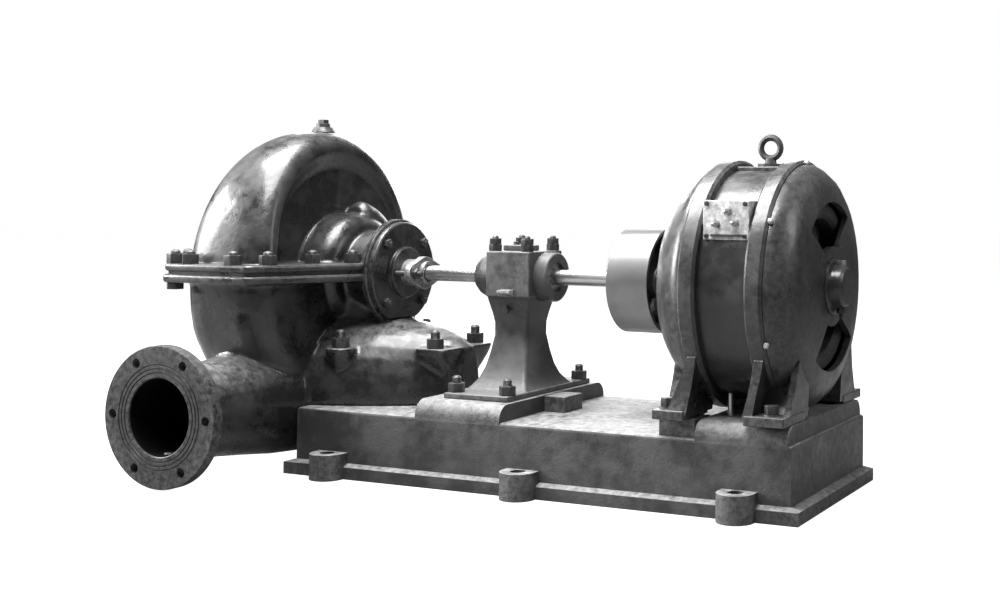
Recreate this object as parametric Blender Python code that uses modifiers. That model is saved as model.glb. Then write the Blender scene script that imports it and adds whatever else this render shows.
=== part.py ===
"""Centrifugal pump set: a horizontally split volute pump, a bearing pedestal, a coupling drum and an
electric motor, all on one hollow cast-iron base. Metres, +Z up, +X along the shaft from pump to motor.

Lengths along the shaft are measured from the middle plane of the volute, and heights from the shaft's
axis. One empty carries that frame to its place, so that the set stands on z = 0 around x = 0.
"""

import bmesh
import bpy
from math import cos, pi, radians, sin
from mathutils import Matrix, Vector

for old in list(bpy.data.objects):
    bpy.data.objects.remove(old, do_unlink=True)

# Driving dimensions: the whole set
SHAFT_HEIGHT = 0.472
OUTBOARD_END = -0.345
FREE_END = 1.438
GAP = 0.0003
SHAFT_RADIUS = 0.0187
RUNNING_CLEARANCE = 0.0025

# The base
BASE_WALL_X = (0.142, 1.400)
BASE_WALL_Y = 0.247
SKIRT_X = (0.116, 1.421)
SKIRT_Y = 0.262
SKIRT_EDGE = 0.028
SKIRT_RISE = 0.007
BASE_TOP = -0.315
BASE_THICKNESS = 0.022
PAD_TOP = -0.277
PAD_ROUNDING = 0.035
PEDESTAL_PAD_X = (0.478, 0.704)
MOTOR_PAD_X = (1.182, 1.392)
LUG_X = (0.250, 0.768, 1.286)
LUG_Y = 0.268
LUG_RADIUS = 0.041
LUG_HEIGHT = 0.060
LUG_HOLE_RADIUS = 0.017

# The pump casing
JOINT_FLANGE_THICKNESS = 0.026
JOINT_LIP_HEIGHT = 0.017
JOINT_GROOVE = (0.965, 0.980)
JOINT_NEAR = ((0.118, 0.405), (0.131, 0.392), (0.238, 0.138), (0.241, 0.000))
JOINT_FAR = ((0.098, 0.342), (0.135, 0.300), (0.168, 0.250), (0.238, 0.128), (0.241, 0.000))
STATION_ANGLES = (0, 45, 90, 135, 180, 225, 270, 315, 360)
VOLUTE_RADII = (0.300, 0.319, 0.354, 0.369, 0.363, 0.382, 0.398, 0.372, 0.330)
VOLUTE_HALF_WIDTHS = (0.066, 0.076, 0.079, 0.097, 0.124, 0.122, 0.116, 0.100, 0.080)
RIM_DEPTHS = (0.060, 0.072, 0.098, 0.104, 0.108, 0.118, 0.124, 0.110, 0.090)
RIM_ROUNDINGS = (0.040, 0.044, 0.044, 0.050, 0.058, 0.066, 0.070, 0.062, 0.050)
DISC_HALF_WIDTH = 0.060
INNER_RADIUS = 0.030
HOOD_STATIONS = (
    (0.040, 0.161, 0.147),
    (0.092, 0.160, 0.1465),
    (0.113, 0.157, 0.145),
    (0.130, 0.150, 0.140),
    (0.143, 0.138, 0.131),
    (0.151, 0.122, 0.119),
    (0.1535, 0.107, 0.107),
)
BOX_RING_X = (0.233, 0.2477)
BOX_RING_RADIUS = 0.133
BOX_BARREL_RADIUS = 0.101
COVER_RADIUS = 0.127
COVER_FLAT = -0.1135

# The branches
BRANCH_Z = -0.308
SUCTION_PIPE = ((0.070, 0.110), (0.150, 0.112), (0.240, 0.122), (0.340, 0.135), (0.430, 0.141))
DELIVERY_PIPE = ((0.080, 0.094), (0.140, 0.096), (0.300, 0.104))
BOLT_HOLE_RADIUS = 0.011
BOLTS_PER_FLANGE = 6
SUCTION = {"side": -1, "face": 0.545, "flange": 0.160, "thick": 0.028, "bore": 0.0875, "bolts": 0.135, "depth": 0.150}
DELIVERY = {"side": 1, "face": 0.400, "flange": 0.145, "thick": 0.022, "bore": 0.0750, "bolts": 0.120, "depth": 0.100}
SUCTION["x"] = 0.010
DELIVERY["x"] = 0.000

# The chamber that carries the pump on the base
CHAMBER_STATIONS = (
    (0.020, 0.250, 0.215),
    (0.110, 0.222, 0.208),
    (0.190, 0.203, 0.203),
    (0.266, 0.175, 0.199),
    (0.330, 0.142, 0.190),
    (0.385, 0.110, 0.178),
    (0.430, 0.078, 0.160),
    (0.462, 0.045, 0.138),
)
CHAMBER_BOTTOM = -0.330
BRACKET_TOP = -0.177
END_BRACKET_X = (0.375, 0.457)
END_BRACKET_Y = 0.113
SIDE_BRACKET_AT = (0.205, 0.172)
SIDE_BRACKET_RADIUS = 0.036

# The bearing pedestal
PEDESTAL_X = 0.606
PEDESTAL_PLATE_X = (0.520, 0.692)
PEDESTAL_PLATE_Y = 0.195
PEDESTAL_PLATE_TOP = -0.264
COLUMN_STATIONS = (
    (-0.030, 0.062, 0.070),
    (-0.060, 0.056, 0.062),
    (-0.085, 0.051, 0.054),
    (-0.110, 0.047, 0.048),
    (-0.140, 0.0465, 0.048),
    (-0.180, 0.051, 0.059),
    (-0.215, 0.057, 0.071),
    (-0.240, 0.065, 0.085),
    (-0.256, 0.075, 0.100),
    (-0.265, 0.083, 0.110),
)
HOUSING_BLOCK_X = (0.554, 0.673)
HOUSING_BLOCK_Y = 0.078
HOUSING_BLOCK_Z = (-0.047, 0.062)
HOUSING_X = (0.487, 0.707)
HOUSING_RADIUS = 0.059
BUSH_RADIUS = 0.036

# The coupling drum
DRUM_X = (0.9004, 1.0049)
DRUM_RADIUS = 0.1216
DRUM_WALL = 0.007
DRUM_WEB = 0.012
DRUM_HUB_RADIUS = 0.042
MOTOR_SHAFT_RADIUS = 0.022

# The motor
RING_RADIUS = 0.279
RING_X = ((1.150, 1.190), (1.301, 1.341))
SHELL_RADIUS = 0.258
MOTOR_HUB_X = 1.014
FOOT_X = ((1.090, 1.162), (1.298, 1.388))
FOOT_OUTER_Y = 0.262
FOOT_INNER_Y = 0.130
FOOT_THICKNESS = 0.020
LEFT_RIB = (
    (-0.110, 1.164, 1.184, 0.215),
    (-0.145, 1.162, 1.181, 0.243),
    (-0.175, 1.152, 1.177, 0.241),
    (-0.210, 1.138, 1.172, 0.243),
    (-0.240, 1.128, 1.168, 0.250),
    (-0.270, 1.119, 1.164, 0.256),
)
MIDDLE_RIB = (
    (-0.110, 1.314, 1.336, 0.215),
    (-0.145, 1.313, 1.334, 0.243),
    (-0.180, 1.307, 1.327, 0.241),
    (-0.220, 1.300, 1.319, 0.244),
    (-0.250, 1.294, 1.315, 0.250),
    (-0.270, 1.290, 1.313, 0.256),
)
RIGHT_RIB = (
    (-0.090, 1.376, 1.391, 0.172),
    (-0.150, 1.376, 1.391, 0.178),
    (-0.200, 1.374, 1.389, 0.192),
    (-0.245, 1.372, 1.387, 0.214),
    (-0.270, 1.371, 1.386, 0.230),
)
DRIVE_SHIELD = (
    (1.1497, 0.2700),
    (1.140, 0.2690),
    (1.128, 0.2620),
    (1.104, 0.2430),
    (1.084, 0.2200),
    (1.066, 0.1970),
    (1.053, 0.1680),
    (1.045, 0.1300),
    (1.041, 0.0900),
    (1.034, 0.0680),
    (1.014, 0.0580),
)
FREE_SHIELD = (
    (1.404, 0.0630),
    (1.404, 0.1500),
    (1.401, 0.1950),
    (1.393, 0.2240),
    (1.380, 0.2460),
    (1.362, 0.2620),
    (1.352, 0.2680),
    (1.3413, 0.2700),
)
EYE_X = 1.253
EYE_RING_RADIUS = 0.0235
EYE_WIRE_RADIUS = 0.0075

MIDDLE_X = (OUTBOARD_END + FREE_END) / 2
MIDDLE_Y = (DELIVERY["face"] - SUCTION["face"]) / 2
FLOOR = -SHAFT_HEIGHT

PIECES = bpy.data.collections.new("centrifugal_pump_set")
SHAPERS = bpy.data.collections.new("shaping_bodies")
bpy.context.scene.collection.children.link(PIECES)
bpy.context.scene.collection.children.link(SHAPERS)

SET_FRAME = bpy.data.objects.new("set_frame", None)
SET_FRAME.location = (-MIDDLE_X, -MIDDLE_Y, SHAFT_HEIGHT)
PIECES.objects.link(SET_FRAME)
SHAFT_AXIS = bpy.data.objects.new("shaft_axis", None)
SHAFT_AXIS.location = (-MIDDLE_X, -MIDDLE_Y, SHAFT_HEIGHT)
PIECES.objects.link(SHAFT_AXIS)


def material(name, colour, roughness, metallic):
    made = bpy.data.materials.new(name)
    made.use_nodes = True
    shader = made.node_tree.nodes["Principled BSDF"]
    shader.inputs["Base Color"].default_value = (*colour, 1)
    shader.inputs["Roughness"].default_value = roughness
    shader.inputs["Metallic"].default_value = metallic
    return made


PAINT = (0.035, 0.037, 0.039)
LIGHT_PAINT = (0.065, 0.067, 0.070)
BARE_STEEL = (0.55, 0.55, 0.54)


def finished(body, colour=PAINT, roughness=0.38, metallic=0.1, parent=SET_FRAME):
    """Puts a finished piece among the pieces, with a material of its own."""
    PIECES.objects.link(body)
    body.parent = parent
    body.data.materials.append(material(body.name, colour, roughness, metallic))
    if len(body.data.polygons):
        body.data.shade_smooth()
        body.data.set_sharp_from_angle(angle=radians(40))
    return body


def shaper(body):
    """Keeps a body that only joins or cuts another out of the render."""
    SHAPERS.objects.link(body)
    body.parent = SET_FRAME
    body.hide_render = True
    body.display_type = "WIRE"
    return body


def boolean(body, operation, others):
    for other in others:
        shaper(other)
        step = body.modifiers.new(operation.lower() + "_" + other.name, "BOOLEAN")
        step.operation = operation
        step.solver = "EXACT"
        step.object = other
    return body


def joined(body, *others):
    return boolean(body, "UNION", others)


def cut(body, *others):
    return boolean(body, "DIFFERENCE", others)


def body_from(name, mesh):
    bmesh.ops.recalc_face_normals(mesh, faces=mesh.faces)
    data = bpy.data.meshes.new(name)
    mesh.to_mesh(data)
    mesh.free()
    return bpy.data.objects.new(name, data)


def block(name, x, y, z, rounding=0.0):
    """A box between two planes along each axis, its edges rounded if asked."""
    mesh = bmesh.new()
    size = Vector((x[1] - x[0], y[1] - y[0], z[1] - z[0]))
    middle = Vector((x[0] + x[1], y[0] + y[1], z[0] + z[1])) / 2
    bmesh.ops.create_cube(mesh, size=1, matrix=Matrix.Translation(middle) @ Matrix.Diagonal((*size, 1)))
    if rounding:
        bmesh.ops.bevel(mesh, geom=mesh.edges[:], offset=rounding, segments=3, profile=0.5, affect="EDGES")
    return body_from(name, mesh)


def rod(name, radius, start, end, segments=32, end_radius=None):
    """A round bar, or a cone, from one point to another."""
    mesh = bmesh.new()
    start, end = Vector(start), Vector(end)
    along = end - start
    turn = along.to_track_quat("Z", "Y").to_matrix().to_4x4()
    bmesh.ops.create_cone(
        mesh,
        cap_ends=True,
        segments=segments,
        radius1=radius,
        radius2=radius if end_radius is None else end_radius,
        depth=along.length,
        matrix=Matrix.Translation((start + end) / 2) @ turn,
    )
    return body_from(name, mesh)


def turned(name, profile, segments=48, closed=False):
    """A body turned about the shaft's axis. The profile's (x, radius) points run from the motor side
    to the pump side over the outside, so that the faces point out."""
    data = bpy.data.meshes.new(name)
    start = pi / segments
    points = [(radius * cos(start), radius * sin(start), x) for x, radius in profile]
    edges = [(i, i + 1) for i in range(len(points) - 1)]
    if closed:
        edges.append((len(points) - 1, 0))
    data.from_pydata(points, edges, [])
    body = bpy.data.objects.new(name, data)
    body.rotation_euler = (0, pi / 2, 0)
    screw = body.modifiers.new("turning", "SCREW")
    screw.axis = "Z"
    screw.angle = 2 * pi
    screw.steps = segments
    screw.render_steps = segments
    screw.use_merge_vertices = True
    screw.merge_threshold = 0.00005
    screw.use_smooth_shade = True
    return body


def loft(name, rings):
    """A closed body through a row of rings that have as many points each."""
    mesh = bmesh.new()
    rows = [[mesh.verts.new(point) for point in ring] for ring in rings]
    count = len(rows[0])
    for row, following in zip(rows, rows[1:]):
        for i in range(count):
            j = (i + 1) % count
            mesh.faces.new((row[i], row[j], following[j], following[i]))
    mesh.faces.new(rows[0])
    mesh.faces.new(rows[-1])
    return body_from(name, mesh)


def extruded(name, outline, axis, low, high, rounding=0.0):
    """A flat outline carried along an axis. The outline's pairs are the two other axes in order."""
    order = {"X": (2, 0, 1), "Y": (0, 2, 1), "Z": (0, 1, 2)}[axis]
    mesh = bmesh.new()
    ring = [mesh.verts.new([(a, b, low)[k] for k in order]) for a, b in outline]
    face = mesh.faces.new(ring)
    grown = bmesh.ops.extrude_face_region(mesh, geom=[face])["geom"]
    along = Vector([(0, 0, high - low)[k] for k in order])
    lid = [item for item in grown if isinstance(item, bmesh.types.BMVert)]
    bmesh.ops.translate(mesh, verts=lid, vec=along)
    if rounding:
        top_edges = [edge for edge in mesh.edges if all(vertex in lid for vertex in edge.verts)]
        bmesh.ops.bevel(mesh, geom=top_edges, offset=rounding, segments=3, profile=0.5, affect="EDGES")
    return body_from(name, mesh)


def arc(centre, radius, start, end, steps):
    """Points on a circular arc, in degrees."""
    turns = [radians(start + (end - start) * i / steps) for i in range(steps + 1)]
    return [(centre[0] + radius * cos(t), centre[1] + radius * sin(t)) for t in turns]


def smooth_value(stations, values, at):
    """A smooth curve through values that are given at rising stations."""
    last = len(stations) - 1
    i = max(k for k in range(last) if stations[k] <= at)
    before, after = max(i - 1, 0), min(i + 2, last)
    span = stations[i + 1] - stations[i]
    t = (at - stations[i]) / span
    slope_in = (values[i + 1] - values[before]) / (stations[i + 1] - stations[before]) * span
    slope_out = (values[after] - values[i]) / (stations[after] - stations[i]) * span
    rise = values[i + 1] - values[i]
    return values[i] + t * (slope_in + t * (3 * rise - 2 * slope_in - slope_out + t * (slope_in + slope_out - 2 * rise)))


def volute_section(angle):
    """The volute's outline at an angle round the shaft, as (x, radius) pairs: flat discs inside, and
    a rounded rim that grows round the turn."""
    angle %= 360
    outer = smooth_value(STATION_ANGLES, VOLUTE_RADII, angle)
    width = smooth_value(STATION_ANGLES, VOLUTE_HALF_WIDTHS, angle)
    depth = smooth_value(STATION_ANGLES, RIM_DEPTHS, angle)
    disc_edge = outer - depth
    widest = outer - smooth_value(STATION_ANGLES, RIM_ROUNDINGS, angle)
    half = [(DISC_HALF_WIDTH, INNER_RADIUS)]
    for step in range(3):
        t = step / 3
        swing = t * t * (3 - 2 * t)
        half.append((DISC_HALF_WIDTH + (width - DISC_HALF_WIDTH) * swing, disc_edge + (widest - disc_edge) * t))
    for step in range(7):
        t = radians(15 * step)
        half.append((width * cos(t) ** 0.88, widest + (outer - widest) * sin(t) ** 0.88))
    return half + [(-x, radius) for x, radius in reversed(half[:-1])]


def volute(name, first, last, steps):
    rings = []
    for i in range(steps + 1):
        angle = first + (last - first) * i / steps
        turn = radians(angle)
        rings.append([(x, radius * cos(turn), radius * sin(turn)) for x, radius in volute_section(angle)])
    return loft(name, rings)


def arch_ring(x, half_width, low, height, exponent=2.2, steps=16):
    """A ring at one place along the shaft: flat below and rounded above."""
    points = []
    for i in range(steps + 1):
        t = pi * i / steps
        side = abs(cos(t)) ** (2 / exponent) * (1 if cos(t) > 0 else -1)
        points.append((x, half_width * side, low + height * sin(t) ** (2 / exponent)))
    return points


def rounded_ring(centre_x, z, half_x, half_y, corner, steps=3, centre_y=0.0):
    """A rectangle with round corners, lying flat at one height."""
    points = []
    for sign_x, sign_y, start in ((1, 1, 0), (-1, 1, 90), (-1, -1, 180), (1, -1, 270)):
        middle = (centre_x + sign_x * (half_x - corner), centre_y + sign_y * (half_y - corner))
        points += [(px, py, z) for px, py in arc(middle, corner, start, start + 90, steps)]
    return points


def joint_plan(grow_x=1.0, grow_y=1.0):
    """The joint flange's plan: long towards the suction side, shorter towards the delivery side, and
    the same at both ends of the shaft."""
    right = [(x, y) for x, y in JOINT_FAR] + [(x, -y) for x, y in reversed(JOINT_NEAR) if y]
    left = [(-x, y) for x, y in reversed(right)]
    return [(x * grow_x, y * grow_y) for x, y in right + left]


def base_plate():
    mesh = bmesh.new()
    low = Vector((SKIRT_X[0], -SKIRT_Y, FLOOR))
    size = Vector((SKIRT_X[1] - SKIRT_X[0], 2 * SKIRT_Y, SKIRT_EDGE))
    place = Matrix.Translation(low + size / 2) @ Matrix.Diagonal((*size, 1))
    bmesh.ops.create_cube(mesh, size=1, matrix=place)
    top = max(mesh.faces, key=lambda face: face.calc_center_median().z)
    inset = BASE_WALL_X[0] - SKIRT_X[0]
    for rise, edge_x, edge_y in (
        (SKIRT_RISE, BASE_WALL_X, BASE_WALL_Y),
        (BASE_TOP - FLOOR - SKIRT_EDGE - SKIRT_RISE, BASE_WALL_X, BASE_WALL_Y),
    ):
        grown = bmesh.ops.extrude_face_region(mesh, geom=[top])["geom"]
        old = top
        top = next(item for item in grown if isinstance(item, bmesh.types.BMFace))
        for vertex in top.verts:
            vertex.co.z += rise
            vertex.co.x = edge_x[0] if vertex.co.x < (edge_x[0] + inset * 4) else edge_x[1]
            vertex.co.y = edge_y if vertex.co.y > 0 else -edge_y
        bmesh.ops.delete(mesh, geom=[old], context="FACES_ONLY")
    bmesh.ops.bevel(mesh, geom=list(top.edges), offset=0.007, segments=2, profile=0.5, affect="EDGES")
    body = body_from("base_plate", mesh)
    additions = [pad("pedestal_pad", PEDESTAL_PAD_X), pad("motor_pad", MOTOR_PAD_X)]
    holes = []
    for i, x in enumerate(LUG_X):
        for side in (-1, 1):
            y = side * LUG_Y
            top_z = FLOOR + LUG_HEIGHT
            tag = str(i) + ("_far" if side > 0 else "_near")
            outline = [(x - LUG_RADIUS, 0.225 * side), (x - LUG_RADIUS, y)]
            rounding = arc((x, y), LUG_RADIUS, 180, 180 + 180 * (1 if side < 0 else -1), 10)
            outline = [outline[0]] + rounding + [(x + LUG_RADIUS, 0.225 * side)]
            additions.append(extruded("lug_" + tag, outline, "Z", FLOOR, top_z))
            holes.append(rod("lug_hole_" + tag, LUG_HOLE_RADIUS, (x, y, FLOOR - 0.01), (x, y, top_z + 0.02), 16))
    joined(body, *additions)
    cavity = block(
        "base_cavity",
        (BASE_WALL_X[0] + BASE_THICKNESS, BASE_WALL_X[1] - BASE_THICKNESS),
        (-BASE_WALL_Y + BASE_THICKNESS, BASE_WALL_Y - BASE_THICKNESS),
        (FLOOR - 0.01, BASE_TOP - BASE_THICKNESS),
    )
    cut(body, cavity, *holes)
    return finished(body, LIGHT_PAINT, 0.5)


def pad(name, x):
    """A raised seat across the base, rounded down to the long walls."""
    edge = BASE_WALL_Y - 0.0005
    far = arc((edge - PAD_ROUNDING, PAD_TOP - PAD_ROUNDING), PAD_ROUNDING, 0, 90, 6)
    outline = [(edge, BASE_TOP - 0.006)] + far + [(-y, z) for y, z in reversed(far)] + [(-edge, BASE_TOP - 0.006)]
    return extruded(name, outline, "X", x[0], x[1])


def half_space(name, above):
    """A block that takes away all that lies above or below the joint between the casing's halves."""
    z = (-GAP / 2, 0.6) if above else (-0.6, GAP / 2)
    return block(name, (-0.6, 0.7), (-0.7, 0.7), z)


def joint_flange(name, upper):
    """One half of the bolted joint: above a lip over a groove, below a lip that stands out a little."""
    if not upper:
        return [extruded(name, joint_plan(1.012, 1.007), "Z", 0.003, -JOINT_LIP_HEIGHT, 0.005)]
    lip = extruded(name, joint_plan(), "Z", 0.0095, JOINT_FLANGE_THICKNESS, 0.006)
    neck = extruded(name + "_neck", joint_plan(*JOINT_GROOVE), "Z", -0.003, 0.0125)
    return [lip, neck]


def stuffing_box(name, side):
    """The barrel that carries the shaft's packing, with the ring that its cover is bolted to."""
    ring = BOX_RING_X
    profile = [
        (ring[1], 0),
        (ring[1], BOX_RING_RADIUS - 0.003),
        (ring[1] - 0.003, BOX_RING_RADIUS),
        (ring[0], BOX_RING_RADIUS),
        (ring[0], BOX_BARREL_RADIUS),
        (0.050, BOX_BARREL_RADIUS),
        (0.050, 0),
    ]
    if side < 0:
        profile = [(-x, radius) for x, radius in reversed(profile)]
    return turned(name, profile, 40)


def core(name):
    """The middle of the volute, between its two side discs."""
    return rod(name, 0.080, (-0.0585, 0, 0), (0.0585, 0, 0), 24)


def hood(name, side, upper):
    """The suction passage that bends in over the shaft beside the volute."""
    rings = []
    for x, half_width, height in HOOD_STATIONS:
        ring = arch_ring(x * side, half_width, -0.005, height + 0.005, 2.1)
        if not upper:
            ring = [(px, py, -pz) for px, py, pz in ring]
        rings.append(ring)
    return loft(name, rings)


def back_lobe(name, side):
    """The raised end of the passage, which runs from the crown down to the far side of the joint."""
    rings = []
    for i in range(11):
        turn = radians((86, 84, 79, 72, 62, 52, 41, 30, 20, 10, 0)[i])
        swell = (0.70, 0.92, 1.0)[min(i, 2)]
        ring = []
        for k in range(10):
            t = 2 * pi * k / 10
            radius = 0.136 + 0.046 * swell * sin(t)
            ring.append((side * (0.096 + 0.040 * swell * cos(t)), radius * cos(turn), radius * sin(turn)))
        rings.append(ring)
    return loft(name, rings)


def shaft_bore(name, side):
    return rod(name, 0.026, (side * 0.150, 0, 0), (side * 0.300, 0, 0), 24)


def upper_casing():
    body = volute("upper_casing", -2, 182, 24)
    parts = [core("upper_core"), *joint_flange("upper_joint_flange", True)]
    for side, tag in ((1, "drive"), (-1, "outboard")):
        parts.append(hood("upper_hood_" + tag, side, True))
        parts.append(back_lobe("back_lobe_" + tag, side))
        parts.append(stuffing_box("upper_box_" + tag, side))
    joined(body, *parts)
    cut(body, half_space("below_joint", False), shaft_bore("upper_bore_drive", 1), shaft_bore("upper_bore_out", -1))
    return finished(body)


def branch(name, size):
    """A pipe branch with its flange: towards -Y the suction, towards +Y the delivery."""
    side, face, edge = size["side"], size["face"], size["flange"]
    back = face - size["thick"]
    pipe = SUCTION_PIPE if side < 0 else DELIVERY_PIPE
    profile = [
        (face, 0),
        (face, edge - 0.002),
        (face - 0.002, edge),
        (back + 0.002, edge),
        (back, edge - 0.002),
        (back, pipe[0][1] + 0.008),
        (back - 0.010, pipe[0][1] + 0.001),
        *[(face - depth, radius) for depth, radius in pipe],
        (face - pipe[-1][0], 0),
    ]
    body = turned(name, profile, 36)
    body.rotation_euler = (-pi / 2 * side, 0, 0)
    body.location = (size["x"], 0, BRANCH_Z)
    outside = side * (face + 0.010)
    inside = side * (face - size["depth"])
    middle = size["x"]
    bore = rod(name + "_bore", size["bore"], (middle, outside, BRANCH_Z), (middle, inside, BRANCH_Z), 36)
    cutters = [bore]
    for i in range(BOLTS_PER_FLANGE):
        turn = 2 * pi * i / BOLTS_PER_FLANGE
        x = middle + size["bolts"] * cos(turn)
        z = BRANCH_Z + size["bolts"] * sin(turn)
        through = side * (back - 0.003)
        cutters.append(rod(name + "_bolt_hole_" + str(i), BOLT_HOLE_RADIUS, (x, outside, z), (x, through, z), 12))
    return cut(body, *cutters)


def chamber(name, side, stations):
    rings = []
    for x, half_width, height in stations:
        rings.append(arch_ring(side * x, half_width, CHAMBER_BOTTOM, height + BASE_TOP - CHAMBER_BOTTOM, 2.3, 16))
    return loft(name, rings)


def end_bracket():
    """The foot at the drive end of the chamber: broad at the top and narrow at the base."""
    rings = []
    x0, x1 = END_BRACKET_X
    for z, right, half_y in (
        (BRACKET_TOP, x1, END_BRACKET_Y),
        (-0.190, x1 - 0.001, END_BRACKET_Y - 0.004),
        (-0.215, x1 - 0.006, 0.092),
        (-0.245, x1 - 0.014, 0.068),
        (-0.280, x1 - 0.022, 0.050),
        (BASE_TOP - 0.008, x1 - 0.024, 0.044),
    ):
        rings.append(rounded_ring((x0 + right) / 2, z, (right - x0) / 2, half_y, 0.008))
    return loft("end_bracket", rings)


def side_bracket(name, side):
    x, y = SIDE_BRACKET_AT
    rings = []
    for z, radius in ((BRACKET_TOP, 1.0), (-0.188, 0.97), (-0.215, 0.80), (-0.245, 0.50), (-0.270, 0.20)):
        size = SIDE_BRACKET_RADIUS * radius
        inward = (1 - radius) * 0.030
        middle = (x - inward * 0.3, side * (y - inward))
        rings.append([(px, py, z) for px, py in arc(middle, size, 0, 337.5, 15)])
    return loft(name, rings)


def lower_casing():
    body = volute("lower_casing", 178, 362, 24)
    belly = []
    for z, half_x, near, far in (
        (0.007, 0.131, 0.358, 0.262),
        (-0.040, 0.131, 0.360, 0.264),
        (-0.085, 0.131, 0.357, 0.264),
        (-0.134, 0.130, 0.348, 0.262),
        (-0.165, 0.130, 0.334, 0.256),
        (-0.240, 0.128, 0.290, 0.240),
        (-0.320, 0.124, 0.245, 0.215),
        (-0.390, 0.110, 0.185, 0.175),
        (-0.420, 0.080, 0.130, 0.130),
    ):
        belly.append(rounded_ring(0, z, half_x, (near + far) / 2, 0.075, 4, (far - near) / 2))
    outboard_stations = ((0.020, 0.250, 0.215), (0.110, 0.215, 0.200), (0.180, 0.165, 0.180), (0.225, 0.105, 0.150))
    parts = [
        *joint_flange("lower_joint_flange", False),
        core("lower_core"),
        loft("belly", belly),
        branch("suction_branch", SUCTION),
        branch("delivery_branch", DELIVERY),
        chamber("drive_chamber", 1, CHAMBER_STATIONS),
        chamber("outboard_chamber", -1, outboard_stations),
        end_bracket(),
        side_bracket("side_bracket_near", -1),
        side_bracket("side_bracket_far", 1),
        rod("chamber_neck", 0.085, (0.133, 0, -0.240), (0.133, 0, -0.041), 22),
    ]
    for side, tag in ((1, "drive"), (-1, "outboard")):
        parts.append(hood("lower_hood_" + tag, side, False))
        parts.append(stuffing_box("lower_box_" + tag, side))
    joined(body, *parts)
    bores = [shaft_bore("lower_bore_drive", 1), shaft_bore("lower_bore_out", -1)]
    seat = block("base_under_chamber", (BASE_WALL_X[0] - 0.0008, 0.60), (-0.30, 0.30), (-0.45, BASE_TOP + GAP))
    cut(body, half_space("above_joint", True), seat, *bores)
    return finished(body)


def priming_plug():
    seat = VOLUTE_RADII[2] + GAP
    body = rod("priming_plug", 0.030, (0, 0, seat + 0.0025), (0, 0, seat + 0.016), 24, 0.023)
    middle = rod("plug_collar", 0.018, (0, 0, seat + 0.010), (0, 0, seat + 0.026), 24, 0.017)
    square = block("plug_square", (-0.0095, 0.0095), (-0.0095, 0.0095), (seat + 0.020, seat + 0.036), 0.001)
    joined(body, middle, square)
    return finished(body, (0.30, 0.30, 0.29), 0.45, 0.6)


def cover(name, side):
    """The disc that closes a stuffing box, with a collar round the shaft."""
    bore = SHAFT_RADIUS + RUNNING_CLEARANCE
    profile = [
        (0.2750, bore),
        (0.2750, 0.060),
        (0.2735, 0.0635),
        (0.2655, 0.0640),
        (0.2635, 0.0665),
        (0.2635, COVER_RADIUS - 0.004),
        (0.2595, COVER_RADIUS),
        (0.2480, COVER_RADIUS),
        (0.2480, bore),
    ]
    if side < 0:
        profile = [(-x, radius) for x, radius in reversed(profile)]
    body = turned(name, profile, 40, closed=True)
    flat = block(name + "_flat", (-0.40, 0.40), (-0.20, 0.20), (-0.20, COVER_FLAT))
    return finished(cut(body, flat))


def gland():
    """The oval plate and its sleeve, which press the packing."""
    bore = SHAFT_RADIUS + RUNNING_CLEARANCE
    lobe, lobe_y, middle = 0.023, 0.047, 0.041
    outline = []
    outline += arc((lobe_y, 0), lobe, -58, 58, 6)
    outline += arc((0, 0), middle, 62, 118, 6)
    outline += arc((-lobe_y, 0), lobe, 122, 238, 6)
    outline += arc((0, 0), middle, 242, 298, 6)
    body = extruded("gland", outline, "X", 0.312, 0.328, 0.002)
    sleeve = rod("gland_sleeve", 0.034, (0.2753, 0, 0), (0.320, 0, 0), 32)
    collar = rod("gland_collar", 0.031, (0.320, 0, 0), (0.337, 0, 0), 32, 0.029)
    joined(body, sleeve, collar)
    cut(body, rod("gland_bore", bore, (0.26, 0, 0), (0.36, 0, 0), 32))
    return finished(body, (0.45, 0.44, 0.42), 0.35, 0.8)


def outboard_bearing_cap():
    profile = [
        (-0.2753, 0),
        (-0.2753, 0.074),
        (-0.2873, 0.074),
        (-0.2893, 0.072),
        (-0.2900, 0.060),
        (-0.3220, 0.056),
        (-0.3360, 0.046),
        (-0.3430, 0.028),
        (OUTBOARD_END, 0),
    ]
    return finished(turned("outboard_bearing_cap", profile, 24))


def pedestal_body(name):
    """The bearing housing and its block, before it is split at the shaft's height."""
    x0, x1 = HOUSING_X
    profile = [
        (x1, 0),
        (x1, HOUSING_RADIUS - 0.003),
        (x1 - 0.003, HOUSING_RADIUS),
        (0.545, HOUSING_RADIUS),
        (0.525, HOUSING_RADIUS - 0.003),
        (0.507, HOUSING_RADIUS - 0.011),
        (0.494, HOUSING_RADIUS - 0.023),
        (x0, HOUSING_RADIUS - 0.035),
        (x0, 0),
    ]
    return turned(name, profile, 40)


def housing_block(name):
    y = (-HOUSING_BLOCK_Y, HOUSING_BLOCK_Y)
    return block(name, HOUSING_BLOCK_X, y, HOUSING_BLOCK_Z, 0.004)


def housing_bores(tag):
    wide = rod("housing_bore_" + tag, BUSH_RADIUS, (0.500, 0, 0), (0.720, 0, 0), 32)
    narrow = rod("exit_bore_" + tag, SHAFT_RADIUS + RUNNING_CLEARANCE, (0.470, 0, 0), (0.510, 0, 0), 32)
    return wide, narrow


def bearing_cap():
    body = pedestal_body("bearing_cap")
    joined(body, housing_block("cap_block"))
    cut(body, half_space_at("below_cap", False), *housing_bores("cap"))
    return finished(body, LIGHT_PAINT, 0.4)


def half_space_at(name, above):
    z = (-GAP / 2, 0.5) if above else (-0.5, GAP / 2)
    return block(name, (0.40, 0.80), (-0.4, 0.4), z)


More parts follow.
